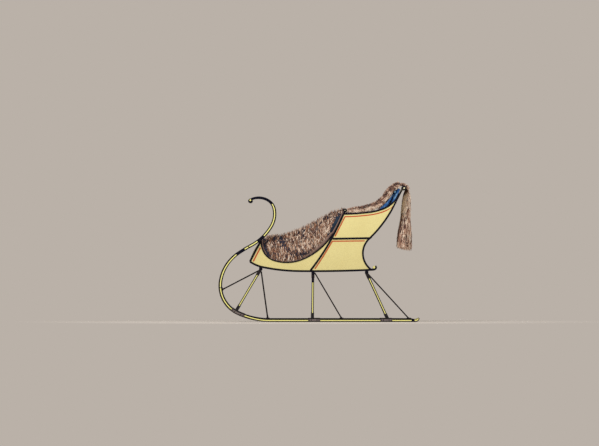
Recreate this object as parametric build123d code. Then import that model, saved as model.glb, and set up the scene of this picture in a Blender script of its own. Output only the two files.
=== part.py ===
from build123d import *
import os
from math import cos, radians, sin, sqrt

# A one-horse cutter sleigh, in millimetres. It faces -X, its left side is at -Y, it stands on z = 0.
# Everything drawn in side view lies in the XZ plane and is given its width along Y.
# A path is a start point, a heading in degrees (0 is +X, 90 is +Z) and rows of (length, turn):
# each row is one arc, turning left where turn is positive, or a straight run where it is 0.
# Only the right side, at +Y, is drawn. The left one is its mirror image.

# Limits a little outside the body, for faces and cuts that run past it
past_front = -900.0
past_rear = 900.0
past_floor = 300.0
past_top = 1500.0
past_side = 700.0
past_middle = 150.0

# Runners: bent hickory bars with a steel shoe underneath
runner_y = 440.0
runner_width = 28.0
runner_depth = 32.0
shoe_depth = 6.0
runner_tail_x = 923.0
bend_start_x = -491.9
# Depth of the bar towards its knob: at the joints and middles of the last two rows of its path
scroll_depths = [32.0, 29.5, 27.0, 25.0, 21.0]
knob_radius = 23.0
knob_place = (-685.0, 1206.0)
runner_low_y = runner_y - runner_width / 2
tail_curl_radius = 38.0
tail_curl_turn = 85.0
# Wood that carries on into the curl: columns are length, turn, depth of the wood there
tail_wood_table = [
    (22.0, 0.0, 20.0),
    (17.0, 0.0, 18.0),
    (29.8, 45.0, 16.0),
    (19.9, 30.0, 9.0),
]
runner_rows = [
    (runner_tail_x - bend_start_x, 0.0),
    (328.9, -24.7),
    (394.0, -74.6),
    (333.1, -46.5),
    (155.5, -6.1),
    (282.1, 31.9),
    (174.8, 41.3),
    (110.8, 48.3),
    (175.1, 54.1),
]
shoe_reach = 2400.0

# Body sides: thin panels bent to a shallow swell, wider apart at the back
swell_radius = 3712.0
swell_centre_y = -3249.4
swell_centre_z = 1412.7
swell_x = -576.0
side_taper = 1.8
panel_thickness = 12.0
rail_proud = 6.0
scroll_proud = 10.0
rail_width = 14.0

# Outlines of the body in side view
sill_start = (-689.0, 601.0)
sill_heading = -35.0
sill_rows = [(141.0, 23.4), (369.0, 11.0), (727.0, 3.3)]
sill_tail_rows = [(26.0, 20.0), (36.0, 110.0)]
sill_eye_place = (550.8, 541.5)
sill_eye_radius = 12.6
sill_eye_proud = 4.0
dash_heading = 72.0
dash_rows = [(233.0, -20.3)]
cut_start = (-577.0, 816.0)
cut_heading = -94.4
cut_rows = [(116.0, 30.5), (143.0, 46.3), (301.0, 40.9), (396.0, 34.4)]
pillar_start = (-85.0, 514.0)
pillar_heading = 51.6
pillar_rows = [(409.0, 10.5), (275.0, 5.0)]
belt_start = (137.0, 829.0)
belt_end = (500.0, 835.0)
arm_start = (246.0, 1077.0)
arm_heading = 0.3
arm_rows = [(263.0, 7.2), (128.0, 12.6), (242.0, 46.1)]
back_start = (520.0, 521.0)
back_heading = 144.2
back_rows = [(199.0, -57.0), (154.0, -43.8), (422.0, 20.1), (176.0, -2.0)]
arm_scroll_place = (258.0, 1113.0)
arm_scroll_radius = 17.0
back_scroll_place = (847.0, 1334.0)
back_scroll_radius = 22.0
pillar_width = 17.0
pillar_bare = 430.0
belt_width = 16.0
# The moulding across the back: its start behind the side's moulding, its depth, and how far it leans back
back_belt_start = 2.0
back_belt_depth = 12.0
back_belt_lean = 17.0

# Floor, dash, back and seat
floor_thickness = 16.0
dash_rail_radius = 11.0
dash_rail_place = (-588.0, 815.0)
back_bar_radius = 18.0
seat_board_z = 831.0
seat_board_thickness = 12.0
seat_front_x = 112.0
seat_nose = 8.0
cushion_nose = 20.0
cushion_thickness = 92.0
squab_thickness = 45.0
squab_top_z = 1356.0
arm_squab_thickness = 26.0
arm_squab_front_x = 100.0
arm_top_z = 1286.0
# Side view of the roll in which the arm squab ends above the arm rail
arm_roll_outline = [
    (590.0, 1108.0), (613.0, 1146.0), (671.0, 1195.0), (717.0, 1249.0), (752.0, 1290.0), (790.0, 1338.0),
    (822.0, 1356.0), (840.0, 1330.0), (815.0, 1280.0), (760.0, 1200.0), (700.0, 1140.0), (640.0, 1105.0),
]
cloth_gap = 1.0
# Lining along the edge of the entry: how far in its band starts, and where the band ends at each
# station down the entry and back up, then up the pillar
lining_thickness = 8.0
lining_start = 4.0
lining_widths = [36.0, 34.0, 30.0, 24.0, 18.0, 16.0, 16.0, 22.0, 40.0]
pillar_lining_widths = [40.0, 38.0, 32.0]

# Running gear: columns are name, x and z of the post's top, x and z of its foot,
# first and last distance of its foot iron along the runner, height of the iron round its head
post_table = [
    ("front", -582.0, 525.0, -826.0, 111.0, 1673.0, 1818.0, 70.0),
    ("middle", -60.0, 500.0, -66.0, 31.0, 911.0, 1032.0, 60.0),
    ("rear", 476.0, 486.0, 686.0, 27.0, 193.0, 313.0, 60.0),
]
post_width = 26.0
post_thickness = 22.0
beam_width = 32.0
beam_depth = 30.0
beam_overhang = 16.0
beam_bury = 4.0
beam_level = 512.0
post_outset = 8.0
iron_wall = 2.5
socket_height = 58.0
clip_plate = 3.0
clip_cheek = 2.0
# Stay rods: columns are x and z at the body, x and z at the runner
stay_table = [
    (-581.0, 521.0, -965.0, 321.0),
    (-577.0, 499.0, -513.0, 34.0),
    (-42.0, 487.0, 227.0, 31.0),
    (485.0, 482.0, 902.0, 27.0),
]
stay_radius = 4.5
stay_inset = 26.0
brace_foot_z = 240.0
brace_head_y = 150.0
brace_bury = 4.0
# Eyes for the shafts' bolts, on the inner faces of the runners: their distance from the tail,
# and the bore that runs on through the runner
shaft_eye_distance = 2070.0
shaft_eye_radius = 13.0
shaft_eye_length = 30.0
shaft_eye_bore = 5.5

# Fur robes
robe_thickness = 44.0
lap_start = (-546.0, 841.0)
lap_heading = 3.3
lap_rows = [(541.0, 27.8), (283.0, -8.2)]
lap_front = (-560.0, 800.0)
lap_sag = 70.0
lap_tuck = 26.0
lap_half_width = 470.0
robe_first = 500.0
robe_last = 951.0
fall_half_width = 400.0
# Side views of the seat's robe as x and z: outer and inner arc over the back's top,
# front and rear arc of the part that hangs behind, and the outline of the fur along each arm
wrap_outer = [(746.0, 1371.0), (836.0, 1407.0), (906.0, 1330.0)]
wrap_inner = [(860.0, 1310.0), (842.0, 1360.0), (789.0, 1347.0)]
fall_front = [(860.0, 1312.0), (824.0, 1040.0), (773.0, 735.0)]
fall_rear = [(926.0, 717.0), (918.0, 1000.0), (906.0, 1332.0)]
arm_fur_outline = [
    (279.0, 1126.0), (417.0, 1149.0), (524.0, 1178.0), (588.0, 1206.0), (639.0, 1238.0), (677.0, 1308.0),
    (725.0, 1353.0), (779.0, 1383.0), (800.0, 1340.0), (760.0, 1290.0), (725.0, 1245.0), (613.0, 1146.0),
    (500.0, 1103.0), (279.0, 1086.0),
]


def step_on(station, length, turn):
    x, z, heading = station
    half = radians(turn) / 2
    chord = length if turn == 0 else length * sin(half) / half
    slant = radians(heading) + half
    return (x + chord * cos(slant), z + chord * sin(slant), heading + turn)


def trace(start, heading, rows):
    # stations (x, z, heading) at each joint of a path and at the middle of each row
    station = (start[0], start[1], heading)
    stations = [station]
    for length, turn in rows:
        for _ in range(2):
            station = step_on(station, length / 2, turn / 2)
            stations.append(station)
    return stations


def stretch(start, heading, rows, first, last):
    # the part of a path between two distances along it, as its own start, heading and rows
    station = (start[0], start[1], heading)
    walked = 0.0
    begin = None
    kept = []
    for length, turn in rows:
        low = max(first, walked)
        high = min(last, walked + length)
        if high > low:
            if begin is None:
                begin = step_on(station, low - walked, turn * (low - walked) / length)
            kept.append((high - low, turn * (high - low) / length))
        station = step_on(station, length, turn)
        walked += length
    return (begin[0], begin[1]), begin[2], kept


def line_of(stations, shifts):
    # points beside the stations, each moved to the left of its heading by its shift
    if not isinstance(shifts, (list, tuple)):
        shifts = [shifts] * len(stations)
    points = []
    for (x, z, heading), shift in zip(stations, shifts):
        points.append(Vector(x - shift * sin(radians(heading)), 0, z + shift * cos(radians(heading))))
    return points


def flat_face(*lines):
    # a face in the XZ plane: each line is joint, middle, joint, ... points, closed by straight edges
    edges = []
    for line, following in zip(lines, lines[1:] + lines[:1]):
        for first, middle, last in zip(line[0::2], line[1::2], line[2::2]):
            bulge = (middle - (first + last) / 2).length
            edges.append(Line(first, last) if bulge < 0.01 else ThreePointArc(first, middle, last))
        if (line[-1] - following[0]).length > 0.01:
            edges.append(Line(line[-1], following[0]))
    return make_face(edges)


def corner(x, z):
    return [Vector(x, 0, z)]


def corners(places):
    return [corner(x, z) for x, z in places]


def arc_through(places):
    return [Vector(x, 0, z) for x, z in places]


def band_face(stations, left, right):
    return flat_face(line_of(stations, left), list(reversed(line_of(stations, right))))


def across(face, low_y, high_y):
    return Pos(0, low_y, 0) * extrude(face, amount=high_y - low_y, dir=(0, 1, 0))


def side_y(x, z, offset=0.0):
    # half width of the body at a point of its side, offset outwards from the panel's outer face
    slope = radians(side_taper)
    reach = sqrt((swell_radius + offset) ** 2 - (z - swell_centre_z) ** 2)
    return (reach + swell_centre_y * cos(slope) + (x - swell_x) * sin(slope)) / cos(slope)


def sill_height(x):
    for first, last in zip(sill_path, sill_path[1:]):
        if first[0] <= x <= last[0]:
            return first[1] + (last[1] - first[1]) * (x - first[0]) / (last[0] - first[0])


def swell_line(offset):
    slope = radians(side_taper)
    start_along = past_front - swell_x
    points = []
    for z in (past_floor, (past_floor + past_top) / 2, past_top):
        reach = sqrt((swell_radius + offset) ** 2 - (z - swell_centre_z) ** 2)
        sideways = reach + swell_centre_y * cos(slope)
        x = swell_x + start_along * cos(slope) - sideways * sin(slope)
        points.append(Vector(x, start_along * sin(slope) + sideways * cos(slope), z))
    return points


def swell_shell(low, high):
    # the curved layer on the +Y side between two offsets from the panel's outer face
    slope = radians(side_taper)
    section = flat_face(swell_line(low), swell_line(high)[::-1])
    return extrude(section, amount=past_rear - past_front + past_side, dir=(cos(slope), sin(slope), 0))


def on_side(face, low, high):
    return across(face, past_middle, past_side) & swell_shell(low, high)


def trimmed(solid, offset):
    # what lies between the two sides, up to the given offset from the panels' outer faces
    outside = swell_shell(offset, past_side)
    return solid - outside - mirror(outside, about=Plane.XZ)


def between_sides(face, offset):
    return trimmed(across(face, -past_side, past_side), offset)


def box_along(foot, head, width, thickness, start=0.0, end=None):
    # a bar from foot to head, width across the side view and thickness through it
    axis = head - foot
    if end is None:
        end = axis.length
    side = Vector(0, 1, 0).cross(axis).normalized()
    plane = Plane(origin=foot + axis.normalized() * start, x_dir=side, z_dir=axis)
    return extrude(plane * Rectangle(width, thickness), amount=end - start)


def rod_between(first, last, radius):
    axis = last - first
    plane = Plane(origin=first, z_dir=axis)
    return extrude(plane * Circle(radius), amount=axis.length)


def largest(solid):
    return max(solid.solids(), key=lambda piece: piece.volume)


def sum_of(solids):
    total = solids[0]
    for solid in solids[1:]:
        total = total + solid
    return total


def disc_face(place, radius):
    plane = Plane(origin=(place[0], 0, place[1]), x_dir=(1, 0, 0), z_dir=(0, 1, 0))
    return plane * Circle(radius)


nodes = {}


def keep_pair(name, solid):
    nodes[name + "_right"] = solid
    nodes[name + "_left"] = mirror(solid, about=Plane.XZ)


# Paths in side view
runner_start = (runner_tail_x, runner_depth / 2)
runner_path = trace(runner_start, 180.0, runner_rows)
sill_path = trace(sill_start, sill_heading, sill_rows)
dash_path = trace(sill_start, dash_heading, dash_rows)
cut_path = trace(cut_start, cut_heading, cut_rows)
pillar_path = trace(pillar_start, pillar_heading, pillar_rows)
arm_path = trace(arm_start, arm_heading, arm_rows)
back_path = trace(back_start, back_heading, back_rows)


# Runners and their shoes
def make_runner():
    depths = [runner_depth] * (len(runner_path) - len(scroll_depths)) + scroll_depths
    left = [depth / 2 for depth in depths]
    right = [-depth / 2 for depth in depths]
    bar = across(band_face(runner_path, left, right), runner_low_y, runner_low_y + runner_width)
    # the knob's seam is turned away from the bar
    return bar + Pos(knob_place[0], runner_y, knob_place[1]) * Rot(0, 0, 180) * Sphere(knob_radius)


def runner_band(first, last, left, right, spare=0.0):
    # a layer along the runner between two distances from its tail, spare wider on both sides
    start, heading, rows = stretch(runner_start, 180.0, runner_rows, first, last)
    face = band_face(trace(start, heading, rows), left, right)
    return across(face, runner_low_y - spare, runner_low_y + runner_width + spare)


def make_shoe():
    # the shoe runs under the wood to the front bend, and curls up as far behind as the bend is in front
    under = runner_band(0.0, shoe_reach, runner_depth / 2, runner_depth / 2 - shoe_depth)
    rear_x = -under.bounding_box().min.X
    curl_x = rear_x - (tail_curl_radius + shoe_depth / 2) * sin(radians(tail_curl_turn))
    curl_length = tail_curl_radius * radians(tail_curl_turn)
    tail_rows = [(curl_x - runner_tail_x, 0.0), (curl_length, tail_curl_turn)]
    tail = trace((runner_tail_x, shoe_depth / 2), 0.0, tail_rows)
    face = band_face(tail, shoe_depth / 2, -shoe_depth / 2)
    return under + across(face, runner_low_y, runner_low_y + runner_width)


def make_runner_tail():
    # the wood behind the bar, on the shoe's curl
    depths = [runner_depth - shoe_depth]
    for length, turn, depth in tail_wood_table:
        depths += [(depths[-1] + depth) / 2, depth]
    rows = [(length, turn) for length, turn, depth in tail_wood_table]
    path = trace((runner_tail_x, shoe_depth / 2), 0.0, rows)
    face = band_face(path, [shoe_depth / 2 + depth for depth in depths], shoe_depth / 2)
    return across(face, runner_low_y, runner_low_y + runner_width)


# Eyes for the shafts' bolts, each with its bore running on through the runner
eye_stretch = stretch(runner_start, 180.0, runner_rows, shaft_eye_distance, shaft_eye_distance + 1.0)
eye_centre = line_of(trace(*eye_stretch), -shoe_depth / 2)[0]
eye_place = (eye_centre.X, eye_centre.Z)
eye_low_y = runner_low_y - shaft_eye_length
eye = across(disc_face(eye_place, shaft_eye_radius), eye_low_y, runner_low_y)
eye_bore = across(disc_face(eye_place, shaft_eye_bore), eye_low_y, past_side)
print("shaft eye at", [round(value, 1) for value in eye_place])
keep_pair("shaft_eye", eye - eye_bore)
shoe = make_shoe()
runner = make_runner() - shoe - eye_bore

# Rails round the edges of each side, and the mouldings on it
border = (-panel_thickness, rail_proud)
sill_band = band_face(sill_path, rail_width / 2, -rail_width / 2)
tail_path = trace(sill_path[-1][:2], sill_path[-1][2], sill_tail_rows)
sill_tail_band = band_face(tail_path, rail_width / 2, -rail_width / 2)
sill_rail = on_side(sill_band, *border) + on_side(sill_tail_band, *border)
sill_rail += on_side(disc_face(sill_eye_place, sill_eye_radius), -panel_thickness, sill_eye_proud)
dash_band = band_face(dash_path, rail_width / 2, -rail_width / 2)
cut_band = band_face(cut_path, rail_width / 2, -rail_width / 2)
front_rail = (on_side(dash_band, *border) + on_side(cut_band, *border)) - sill_rail
pillar_band = band_face(pillar_path, pillar_width / 2, -pillar_width / 2)
pillar_length = sum(length for length, turn in pillar_rows)
upper_pillar = trace(*stretch(pillar_start, pillar_heading, pillar_rows, pillar_bare, pillar_length))
upper_pillar_band = band_face(upper_pillar, pillar_width / 2, -pillar_width / 2)
pillar_rail = on_side(pillar_band, 0.0, rail_proud)
pillar_rail += on_side(upper_pillar_band, -panel_thickness, 0.0)
pillar_rail += on_side(disc_face(arm_scroll_place, arm_scroll_radius), -panel_thickness, scroll_proud)
pillar_rail = pillar_rail - sill_rail - front_rail
arm_band = band_face(arm_path, rail_width / 2, -rail_width / 2)
arm_rail = on_side(arm_band, *border) - pillar_rail
back_band = band_face(back_path, rail_width / 2, -rail_width / 2)
back_rail = on_side(back_band, *border)
back_rail += on_side(disc_face(back_scroll_place, back_scroll_radius), -panel_thickness, scroll_proud)
back_rail = back_rail - sill_rail - arm_rail
belt_face = flat_face(
    corner(belt_start[0], belt_start[1] - belt_width / 2),
    corner(belt_end[0], belt_end[1] - belt_width / 2),
    corner(belt_end[0], belt_end[1] + belt_width / 2),
    corner(belt_start[0], belt_start[1] + belt_width / 2),
)
belt_rail = on_side(belt_face, 0.0, rail_proud) - pillar_rail - back_rail
keep_pair("runner", runner)
keep_pair("runner_shoe", shoe)
keep_pair("runner_tail", make_runner_tail() - shoe)
keep_pair("sill_rail", sill_rail)
keep_pair("front_rail", front_rail)
keep_pair("pillar_rail", pillar_rail)
keep_pair("arm_rail", arm_rail)
keep_pair("back_rail", back_rail)
keep_pair("belt_rail", belt_rail)

# Side panels, meeting behind the mouldings
sill_line = line_of(sill_path, 0.0)
dash_line = line_of(dash_path, 0.0)
cut_line = line_of(cut_path, 0.0)
pillar_line = line_of(pillar_path, 0.0)
arm_line = line_of(arm_path, 0.0)
back_line = line_of(back_path, 0.0)
belt_line = [(past_front, belt_start[1]), belt_start, belt_end, (past_rear, belt_end[1])]
below = flat_face(*corners([(past_front, past_floor), (past_rear, past_floor)] + belt_line[::-1]))
above = flat_face(*corners(belt_line + [(past_rear, past_top), (past_front, past_top)]))
behind_sill = corner(past_rear, sill_path[-1][1])
above_sill = corner(past_rear, cut_path[-1][1])
front_face = flat_face(sill_line, behind_sill, above_sill, cut_line[::-1], dash_line[::-1])
rear_face = flat_face(pillar_line[::-1], sill_line[-1:], back_line, arm_line[::-1])
behind_pillar = flat_face(pillar_line, corner(past_rear, past_top), corner(past_rear, past_floor))
rails = [sill_rail, front_rail, pillar_rail, arm_rail, back_rail]
front_panel = largest(on_side(front_face - behind_pillar, -panel_thickness, 0.0) - rails)
lower_panel = largest(on_side(rear_face & below, -panel_thickness, 0.0) - rails)
upper_panel = largest(on_side(rear_face & above, -panel_thickness, 0.0) - rails)
keep_pair("front_side_panel", front_panel)
keep_pair("lower_side_panel", lower_panel)
keep_pair("upper_side_panel", upper_panel)

# Floor, dash and back, between the sides
inner = -panel_thickness
dash_panel = between_sides(dash_band, inner)
floor_face = band_face(sill_path, floor_thickness - rail_width / 2, -rail_width / 2)
back_panel = between_sides(back_band, inner)
back_low_panel = back_panel & across(below, -past_side, past_side)
back_high_panel = back_panel & across(above, -past_side, past_side)
floor = between_sides(floor_face, inner) - dash_panel - back_low_panel
nodes["dash_panel"] = dash_panel
nodes["floor"] = floor
nodes["lower_back_panel"] = back_low_panel
nodes["upper_back_panel"] = back_high_panel
dash_rail = rod_between(
    Vector(dash_rail_place[0], -runner_low_y, dash_rail_place[1]),
    Vector(dash_rail_place[0], runner_low_y, dash_rail_place[1]),
    dash_rail_radius,
)
for solid in (front_rail, front_panel):
    dash_rail = dash_rail - solid - mirror(solid, about=Plane.XZ)
dash_rail = dash_rail - dash_panel
nodes["dash_rail"] = dash_rail
back_top_rail = between_sides(disc_face(back_scroll_place, back_bar_radius), inner) - back_high_panel
nodes["back_top_rail"] = back_top_rail
low_x = belt_end[0] + back_belt_start
low_z = belt_end[1] - belt_width / 2
high_x = low_x + back_belt_lean
high_z = low_z + belt_width
low_edge = [(low_x, low_z), (low_x + back_belt_depth, low_z)]
high_edge = [(high_x + back_belt_depth, high_z), (high_x, high_z)]
back_belt_face = flat_face(*corners(low_edge + high_edge))
nodes["back_belt_rail"] = largest(between_sides(back_belt_face, inner) - back_panel)

# Cloth lining that shows along the edge of the entry
lining = on_side(band_face(cut_path, lining_widths, lining_start), inner - lining_thickness, inner)
upper_lining_band = band_face(upper_pillar, pillar_lining_widths, lining_start)
lining += on_side(upper_lining_band, inner - lining_thickness, inner)
keep_pair("entry_lining", lining)

# Paths of the robe over the entry
lap_path = trace(lap_start, lap_heading, lap_rows)
lap_line = line_of(lap_path, 0.0)
robe_side = inner - lining_thickness - cloth_gap

# Seat: riser, board, cushion, back squab and the squabs inside the arms
inside_back = line_of(back_path, rail_width / 2)
behind_squab = line_of(back_path, rail_width / 2 + squab_thickness)
seat_top = seat_board_z + seat_board_thickness
cushion_top = seat_top + cushion_thickness
room = flat_face(inside_back, corner(past_front, past_top), corner(past_front, past_floor))
seat_room = flat_face(behind_squab, corner(past_front, past_top), corner(past_front, past_floor))


def slab(low_x, high_x, low_z, high_z):
    return flat_face(*corners([(low_x, low_z), (high_x, low_z), (high_x, high_z), (low_x, high_z)]))


riser = slab(seat_front_x, seat_front_x + seat_board_thickness, past_floor, seat_board_z)
nodes["seat_riser"] = largest(between_sides(riser, inner) - floor)
board = slab(seat_front_x - seat_nose, past_rear, seat_board_z, seat_top) & room
board = between_sides(board, inner) - lining - mirror(lining, about=Plane.XZ)
nodes["seat_board"] = board
curtain_face = flat_face(
    line_of(cut_path, -lap_tuck), line_of(upper_pillar, 0.0), lap_line[::-1], corner(*lap_front)
)
curtain = on_side(curtain_face, robe_side - robe_thickness, robe_side)
curtain = largest(curtain - floor - dash_panel - dash_rail - nodes["seat_riser"] - board)
cushion = slab(seat_front_x - cushion_nose, past_rear, seat_top, cushion_top) & room
cushion = between_sides(cushion, inner - cloth_gap)
beside_curtain = on_side(curtain_face, robe_side - robe_thickness, inner)
for solid in (lining, beside_curtain):
    cushion = cushion - solid - mirror(solid, about=Plane.XZ)
nodes["seat_cushion"] = largest(cushion)
squab = band_face(back_path, rail_width / 2 + squab_thickness, rail_width / 2)
squab = squab & slab(past_front, past_rear, cushion_top, squab_top_z)
nodes["back_squab"] = between_sides(squab, inner - cloth_gap)
arm_low = line_of(arm_path, -rail_width / 2)
under_arm = flat_face(
    arm_low, corner(past_rear, arm_top_z), corner(past_rear, cushion_top),
    corner(arm_squab_front_x, cushion_top), corner(arm_squab_front_x, arm_low[0].Z),
)
arm_squab = on_side(under_arm, inner - arm_squab_thickness, inner)
arm_squab += on_side(flat_face(*corners(arm_roll_outline)), inner - arm_squab_thickness, inner)
for face in (behind_pillar, seat_room):
    arm_squab = arm_squab & across(face, 0.0, past_side)
arm_squab = largest(arm_squab - nodes["seat_cushion"] - nodes["back_squab"])
keep_pair("arm_squab", arm_squab)

# Running gear: cross beams, posts, their irons, the stays and the cross braces
irons = []
braces = []
beams = []
for name, head_x, head_z, foot_x, foot_z, first, last, head_iron in post_table:
    beam_low = sill_height(head_x) - rail_width / 2 - beam_depth
    post_top_y = side_y(head_x, beam_level) + post_outset
    beam_length = 2 * (post_top_y + beam_overhang)
    beam_top = beam_low + beam_depth + beam_bury
    beam = Pos(head_x, 0, (beam_low + beam_top) / 2) * Box(beam_width, beam_length, beam_top - beam_low)
    between_panels = 2 * (side_y(head_x, beam_level) - panel_thickness)
    beam += Pos(head_x, 0, beam_low + beam_depth) * Box(beam_width, between_panels, 2 * beam_depth)
    for solid in [floor, back_panel, sill_rail, back_rail, pillar_rail, front_panel, lower_panel]:
        beam = beam - solid - mirror(solid, about=Plane.XZ)
    beam = largest(beam)
    beams.append(beam)
    nodes["beam_" + name] = beam
    head = Vector(head_x, post_top_y, head_z)
    foot = Vector(foot_x, runner_y, foot_z)
    post = largest(box_along(foot, head, post_width, post_thickness) - runner - shoe - beam)
    keep_pair("post_" + name, post)
    iron_width = post_width + 2 * iron_wall
    iron_thickness = post_thickness + 2 * iron_wall
    socket = box_along(foot, head, iron_width, iron_thickness, 0.0, socket_height)
    outside = runner_depth / 2 - shoe_depth
    clip = runner_band(first, last, outside, -runner_depth / 2 - clip_plate, clip_cheek)
    irons.append(largest((socket + clip) - post - runner - shoe))
    length = (head - foot).length
    head_box = box_along(foot, head, iron_width, iron_thickness, length - head_iron)
    head_box = head_box & Pos(0, 0, beam_low - past_rear) * Box(2 * past_rear, 2 * past_rear, 2 * past_rear)
    irons.append(largest(head_box - post))
    along = (brace_foot_z - foot_z) / (head_z - foot_z)
    inner_face = Vector(0, post_thickness / 2, 0)
    brace_foot = foot + (head - foot) * along - inner_face
    along = (beam_low - foot_z) / (head_z - foot_z)
    brace_head = Vector(foot_x + (head_x - foot_x) * along, brace_head_y, beam_low + brace_bury)
    brace = rod_between(brace_foot, brace_head, stay_radius) - beam - post
    braces.append(largest(brace))
keep_pair("post_irons", sum_of(irons))
nodes["cross_braces"] = sum_of(braces + [mirror(brace, about=Plane.XZ) for brace in braces])

stays = []
for head_x, head_z, foot_x, foot_z in stay_table:
    head = Vector(head_x, side_y(head_x, beam_level) + post_outset - stay_inset, head_z)
    foot = Vector(foot_x, runner_y, foot_z)
    stay = rod_between(foot, head, stay_radius)
    for solid in beams + [runner, floor, sill_rail, front_panel]:
        stay = stay - solid
    stays.append(largest(stay))
keep_pair("stay_rods", sum_of(stays))


# Fur robes: one laid over the entry, one thrown over the seat's back and arms
def sagging_band(start, heading, rows, half_width, sag, thickness):
    # a layer hung between the sides: its section sags in the middle and follows the path
    station = (start[0], start[1], heading)
    solids = []
    for length, turn in rows:
        x, z, angle = station
        ahead = Vector(cos(radians(angle)), 0, sin(radians(angle)))
        plane = Plane(origin=(x, 0, z), x_dir=(0, 1, 0), z_dir=ahead)
        upper = ThreePointArc((-half_width, 0), (0, -sag), (half_width, 0))
        lower = ThreePointArc((half_width, -thickness), (0, -sag - thickness), (-half_width, -thickness))
        right_end = Line((half_width, 0), (half_width, -thickness))
        left_end = Line((-half_width, -thickness), (-half_width, 0))
        section = plane * make_face([upper, right_end, lower, left_end])
        radius = length / radians(turn)
        centre = (x - radius * sin(radians(angle)), 0, z + radius * cos(radians(angle)))
        axis = Axis(centre, (0, -1 if turn > 0 else 1, 0))
        solids.append(revolve(section, axis=axis, revolution_arc=abs(turn)))
        station = step_on(station, length, turn)
    return sum_of(solids)


lap_band = sagging_band(lap_start, lap_heading, lap_rows, lap_half_width, lap_sag, robe_thickness)
lap_top = trimmed(lap_band, robe_side) - dash_rail
nodes["lap_robe"] = lap_top + curtain + mirror(curtain, about=Plane.XZ)

over_squab = stretch(back_start, back_heading, back_rows, robe_first, robe_last)
near = rail_width / 2 + squab_thickness + cloth_gap
over_squab_face = band_face(trace(*over_squab), near + robe_thickness, near)
over_squab_solid = between_sides(over_squab_face, inner - 2 * cloth_gap)
wrap_face = flat_face(arc_through(wrap_outer), arc_through(wrap_inner))
wrap = between_sides(wrap_face, inner - 2 * cloth_gap)
arm_fur = on_side(flat_face(*corners(arm_fur_outline)), inner - robe_thickness, inner - cloth_gap)
fall_face = flat_face(arc_through(fall_front), arc_through(fall_rear))
fall = across(fall_face, -fall_half_width, fall_half_width)
robe = over_squab_solid + wrap + fall + arm_fur + mirror(arm_fur, about=Plane.XZ)
for solid in (nodes["back_squab"], back_top_rail, arm_squab, mirror(arm_squab, about=Plane.XZ)):
    robe = robe - solid
nodes["seat_robe"] = largest(robe)

for name, solid in nodes.items():
    print(name, len(solid.solids()), round(solid.volume / 1e3))

os.makedirs("parts", exist_ok=True)
for name, solid in nodes.items():
    export_step(solid, "parts/" + name + ".step")
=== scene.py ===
import math

import bmesh
import bpy
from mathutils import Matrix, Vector, noise


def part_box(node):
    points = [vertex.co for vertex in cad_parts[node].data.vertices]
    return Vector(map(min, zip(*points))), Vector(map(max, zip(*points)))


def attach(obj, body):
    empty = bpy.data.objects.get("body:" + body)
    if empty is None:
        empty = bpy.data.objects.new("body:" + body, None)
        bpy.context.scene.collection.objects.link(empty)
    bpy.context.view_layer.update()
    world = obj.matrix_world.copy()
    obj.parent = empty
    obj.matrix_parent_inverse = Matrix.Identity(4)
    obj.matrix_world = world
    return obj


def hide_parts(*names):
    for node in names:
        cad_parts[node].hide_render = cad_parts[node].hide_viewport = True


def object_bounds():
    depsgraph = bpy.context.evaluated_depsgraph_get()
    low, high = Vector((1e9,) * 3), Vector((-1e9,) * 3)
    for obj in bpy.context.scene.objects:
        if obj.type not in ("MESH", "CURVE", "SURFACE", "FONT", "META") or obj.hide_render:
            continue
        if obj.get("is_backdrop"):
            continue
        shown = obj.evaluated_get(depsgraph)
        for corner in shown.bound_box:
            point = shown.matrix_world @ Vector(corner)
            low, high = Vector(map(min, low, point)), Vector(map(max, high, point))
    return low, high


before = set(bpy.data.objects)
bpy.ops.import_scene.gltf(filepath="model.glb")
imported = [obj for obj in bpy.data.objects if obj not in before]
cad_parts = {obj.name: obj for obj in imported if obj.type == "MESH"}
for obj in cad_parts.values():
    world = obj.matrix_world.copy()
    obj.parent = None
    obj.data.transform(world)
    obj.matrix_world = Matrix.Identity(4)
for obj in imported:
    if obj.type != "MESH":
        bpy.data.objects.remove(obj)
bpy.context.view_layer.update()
print("frame loaded, nodes:", len(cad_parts))

# Outlines in side view, as the frame has them: metres, degrees, rows of (length, turn to the left)
outlines = {
    "runner": {"start": (0.923, 0.016), "heading": 180.0, "rows": [
        (1.4149, 0.0), (0.3289, -24.7), (0.394, -74.6), (0.3331, -46.5), (0.1555, -6.1), (0.2821, 31.9),
        (0.1748, 41.3), (0.1108, 48.3), (0.1751, 54.1)]},
    "sill": {"start": (-0.689, 0.601), "heading": -35.0, "rows": [
        (0.141, 23.4), (0.369, 11.0), (0.727, 3.3), (0.026, 20.0), (0.036, 110.0)]},
    "dash": {"start": (-0.689, 0.601), "heading": 63.9, "rows": [(0.2325, -4.0)]},
    "entry": {"start": (-0.577, 0.816), "heading": -94.4, "rows": [
        (0.116, 30.5), (0.143, 46.3), (0.301, 40.9), (0.396, 34.4)]},
    "pillar": {"start": (-0.085, 0.514), "heading": 51.6, "rows": [(0.409, 10.5), (0.275, 5.0)]},
    "belt": {"start": (0.137, 0.829), "heading": 0.95, "rows": [(0.363, 0.0)]},
    "arm": {"start": (0.246, 1.077), "heading": 0.3, "rows": [(0.263, 7.2), (0.128, 12.6), (0.242, 46.1)]},
    "back": {"start": (0.52, 0.521), "heading": 144.2, "rows": [
        (0.199, -57.0), (0.154, -43.8), (0.422, 20.1), (0.176, -2.0)]},
    "lap": {"start": (-0.546, 0.841), "heading": 3.3, "rows": [(0.541, 27.8), (0.283, -8.2)]},
}
swell = {"radius": 3.712, "centreY": -3.2494, "centreZ": 1.4127, "x": -0.576, "taper": 1.8}


def between(low, high, share):
    return low + (high - low) * share


def smooth(value):
    value = min(1.0, max(0.0, value))
    return value * value * (3 - 2 * value)


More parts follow.
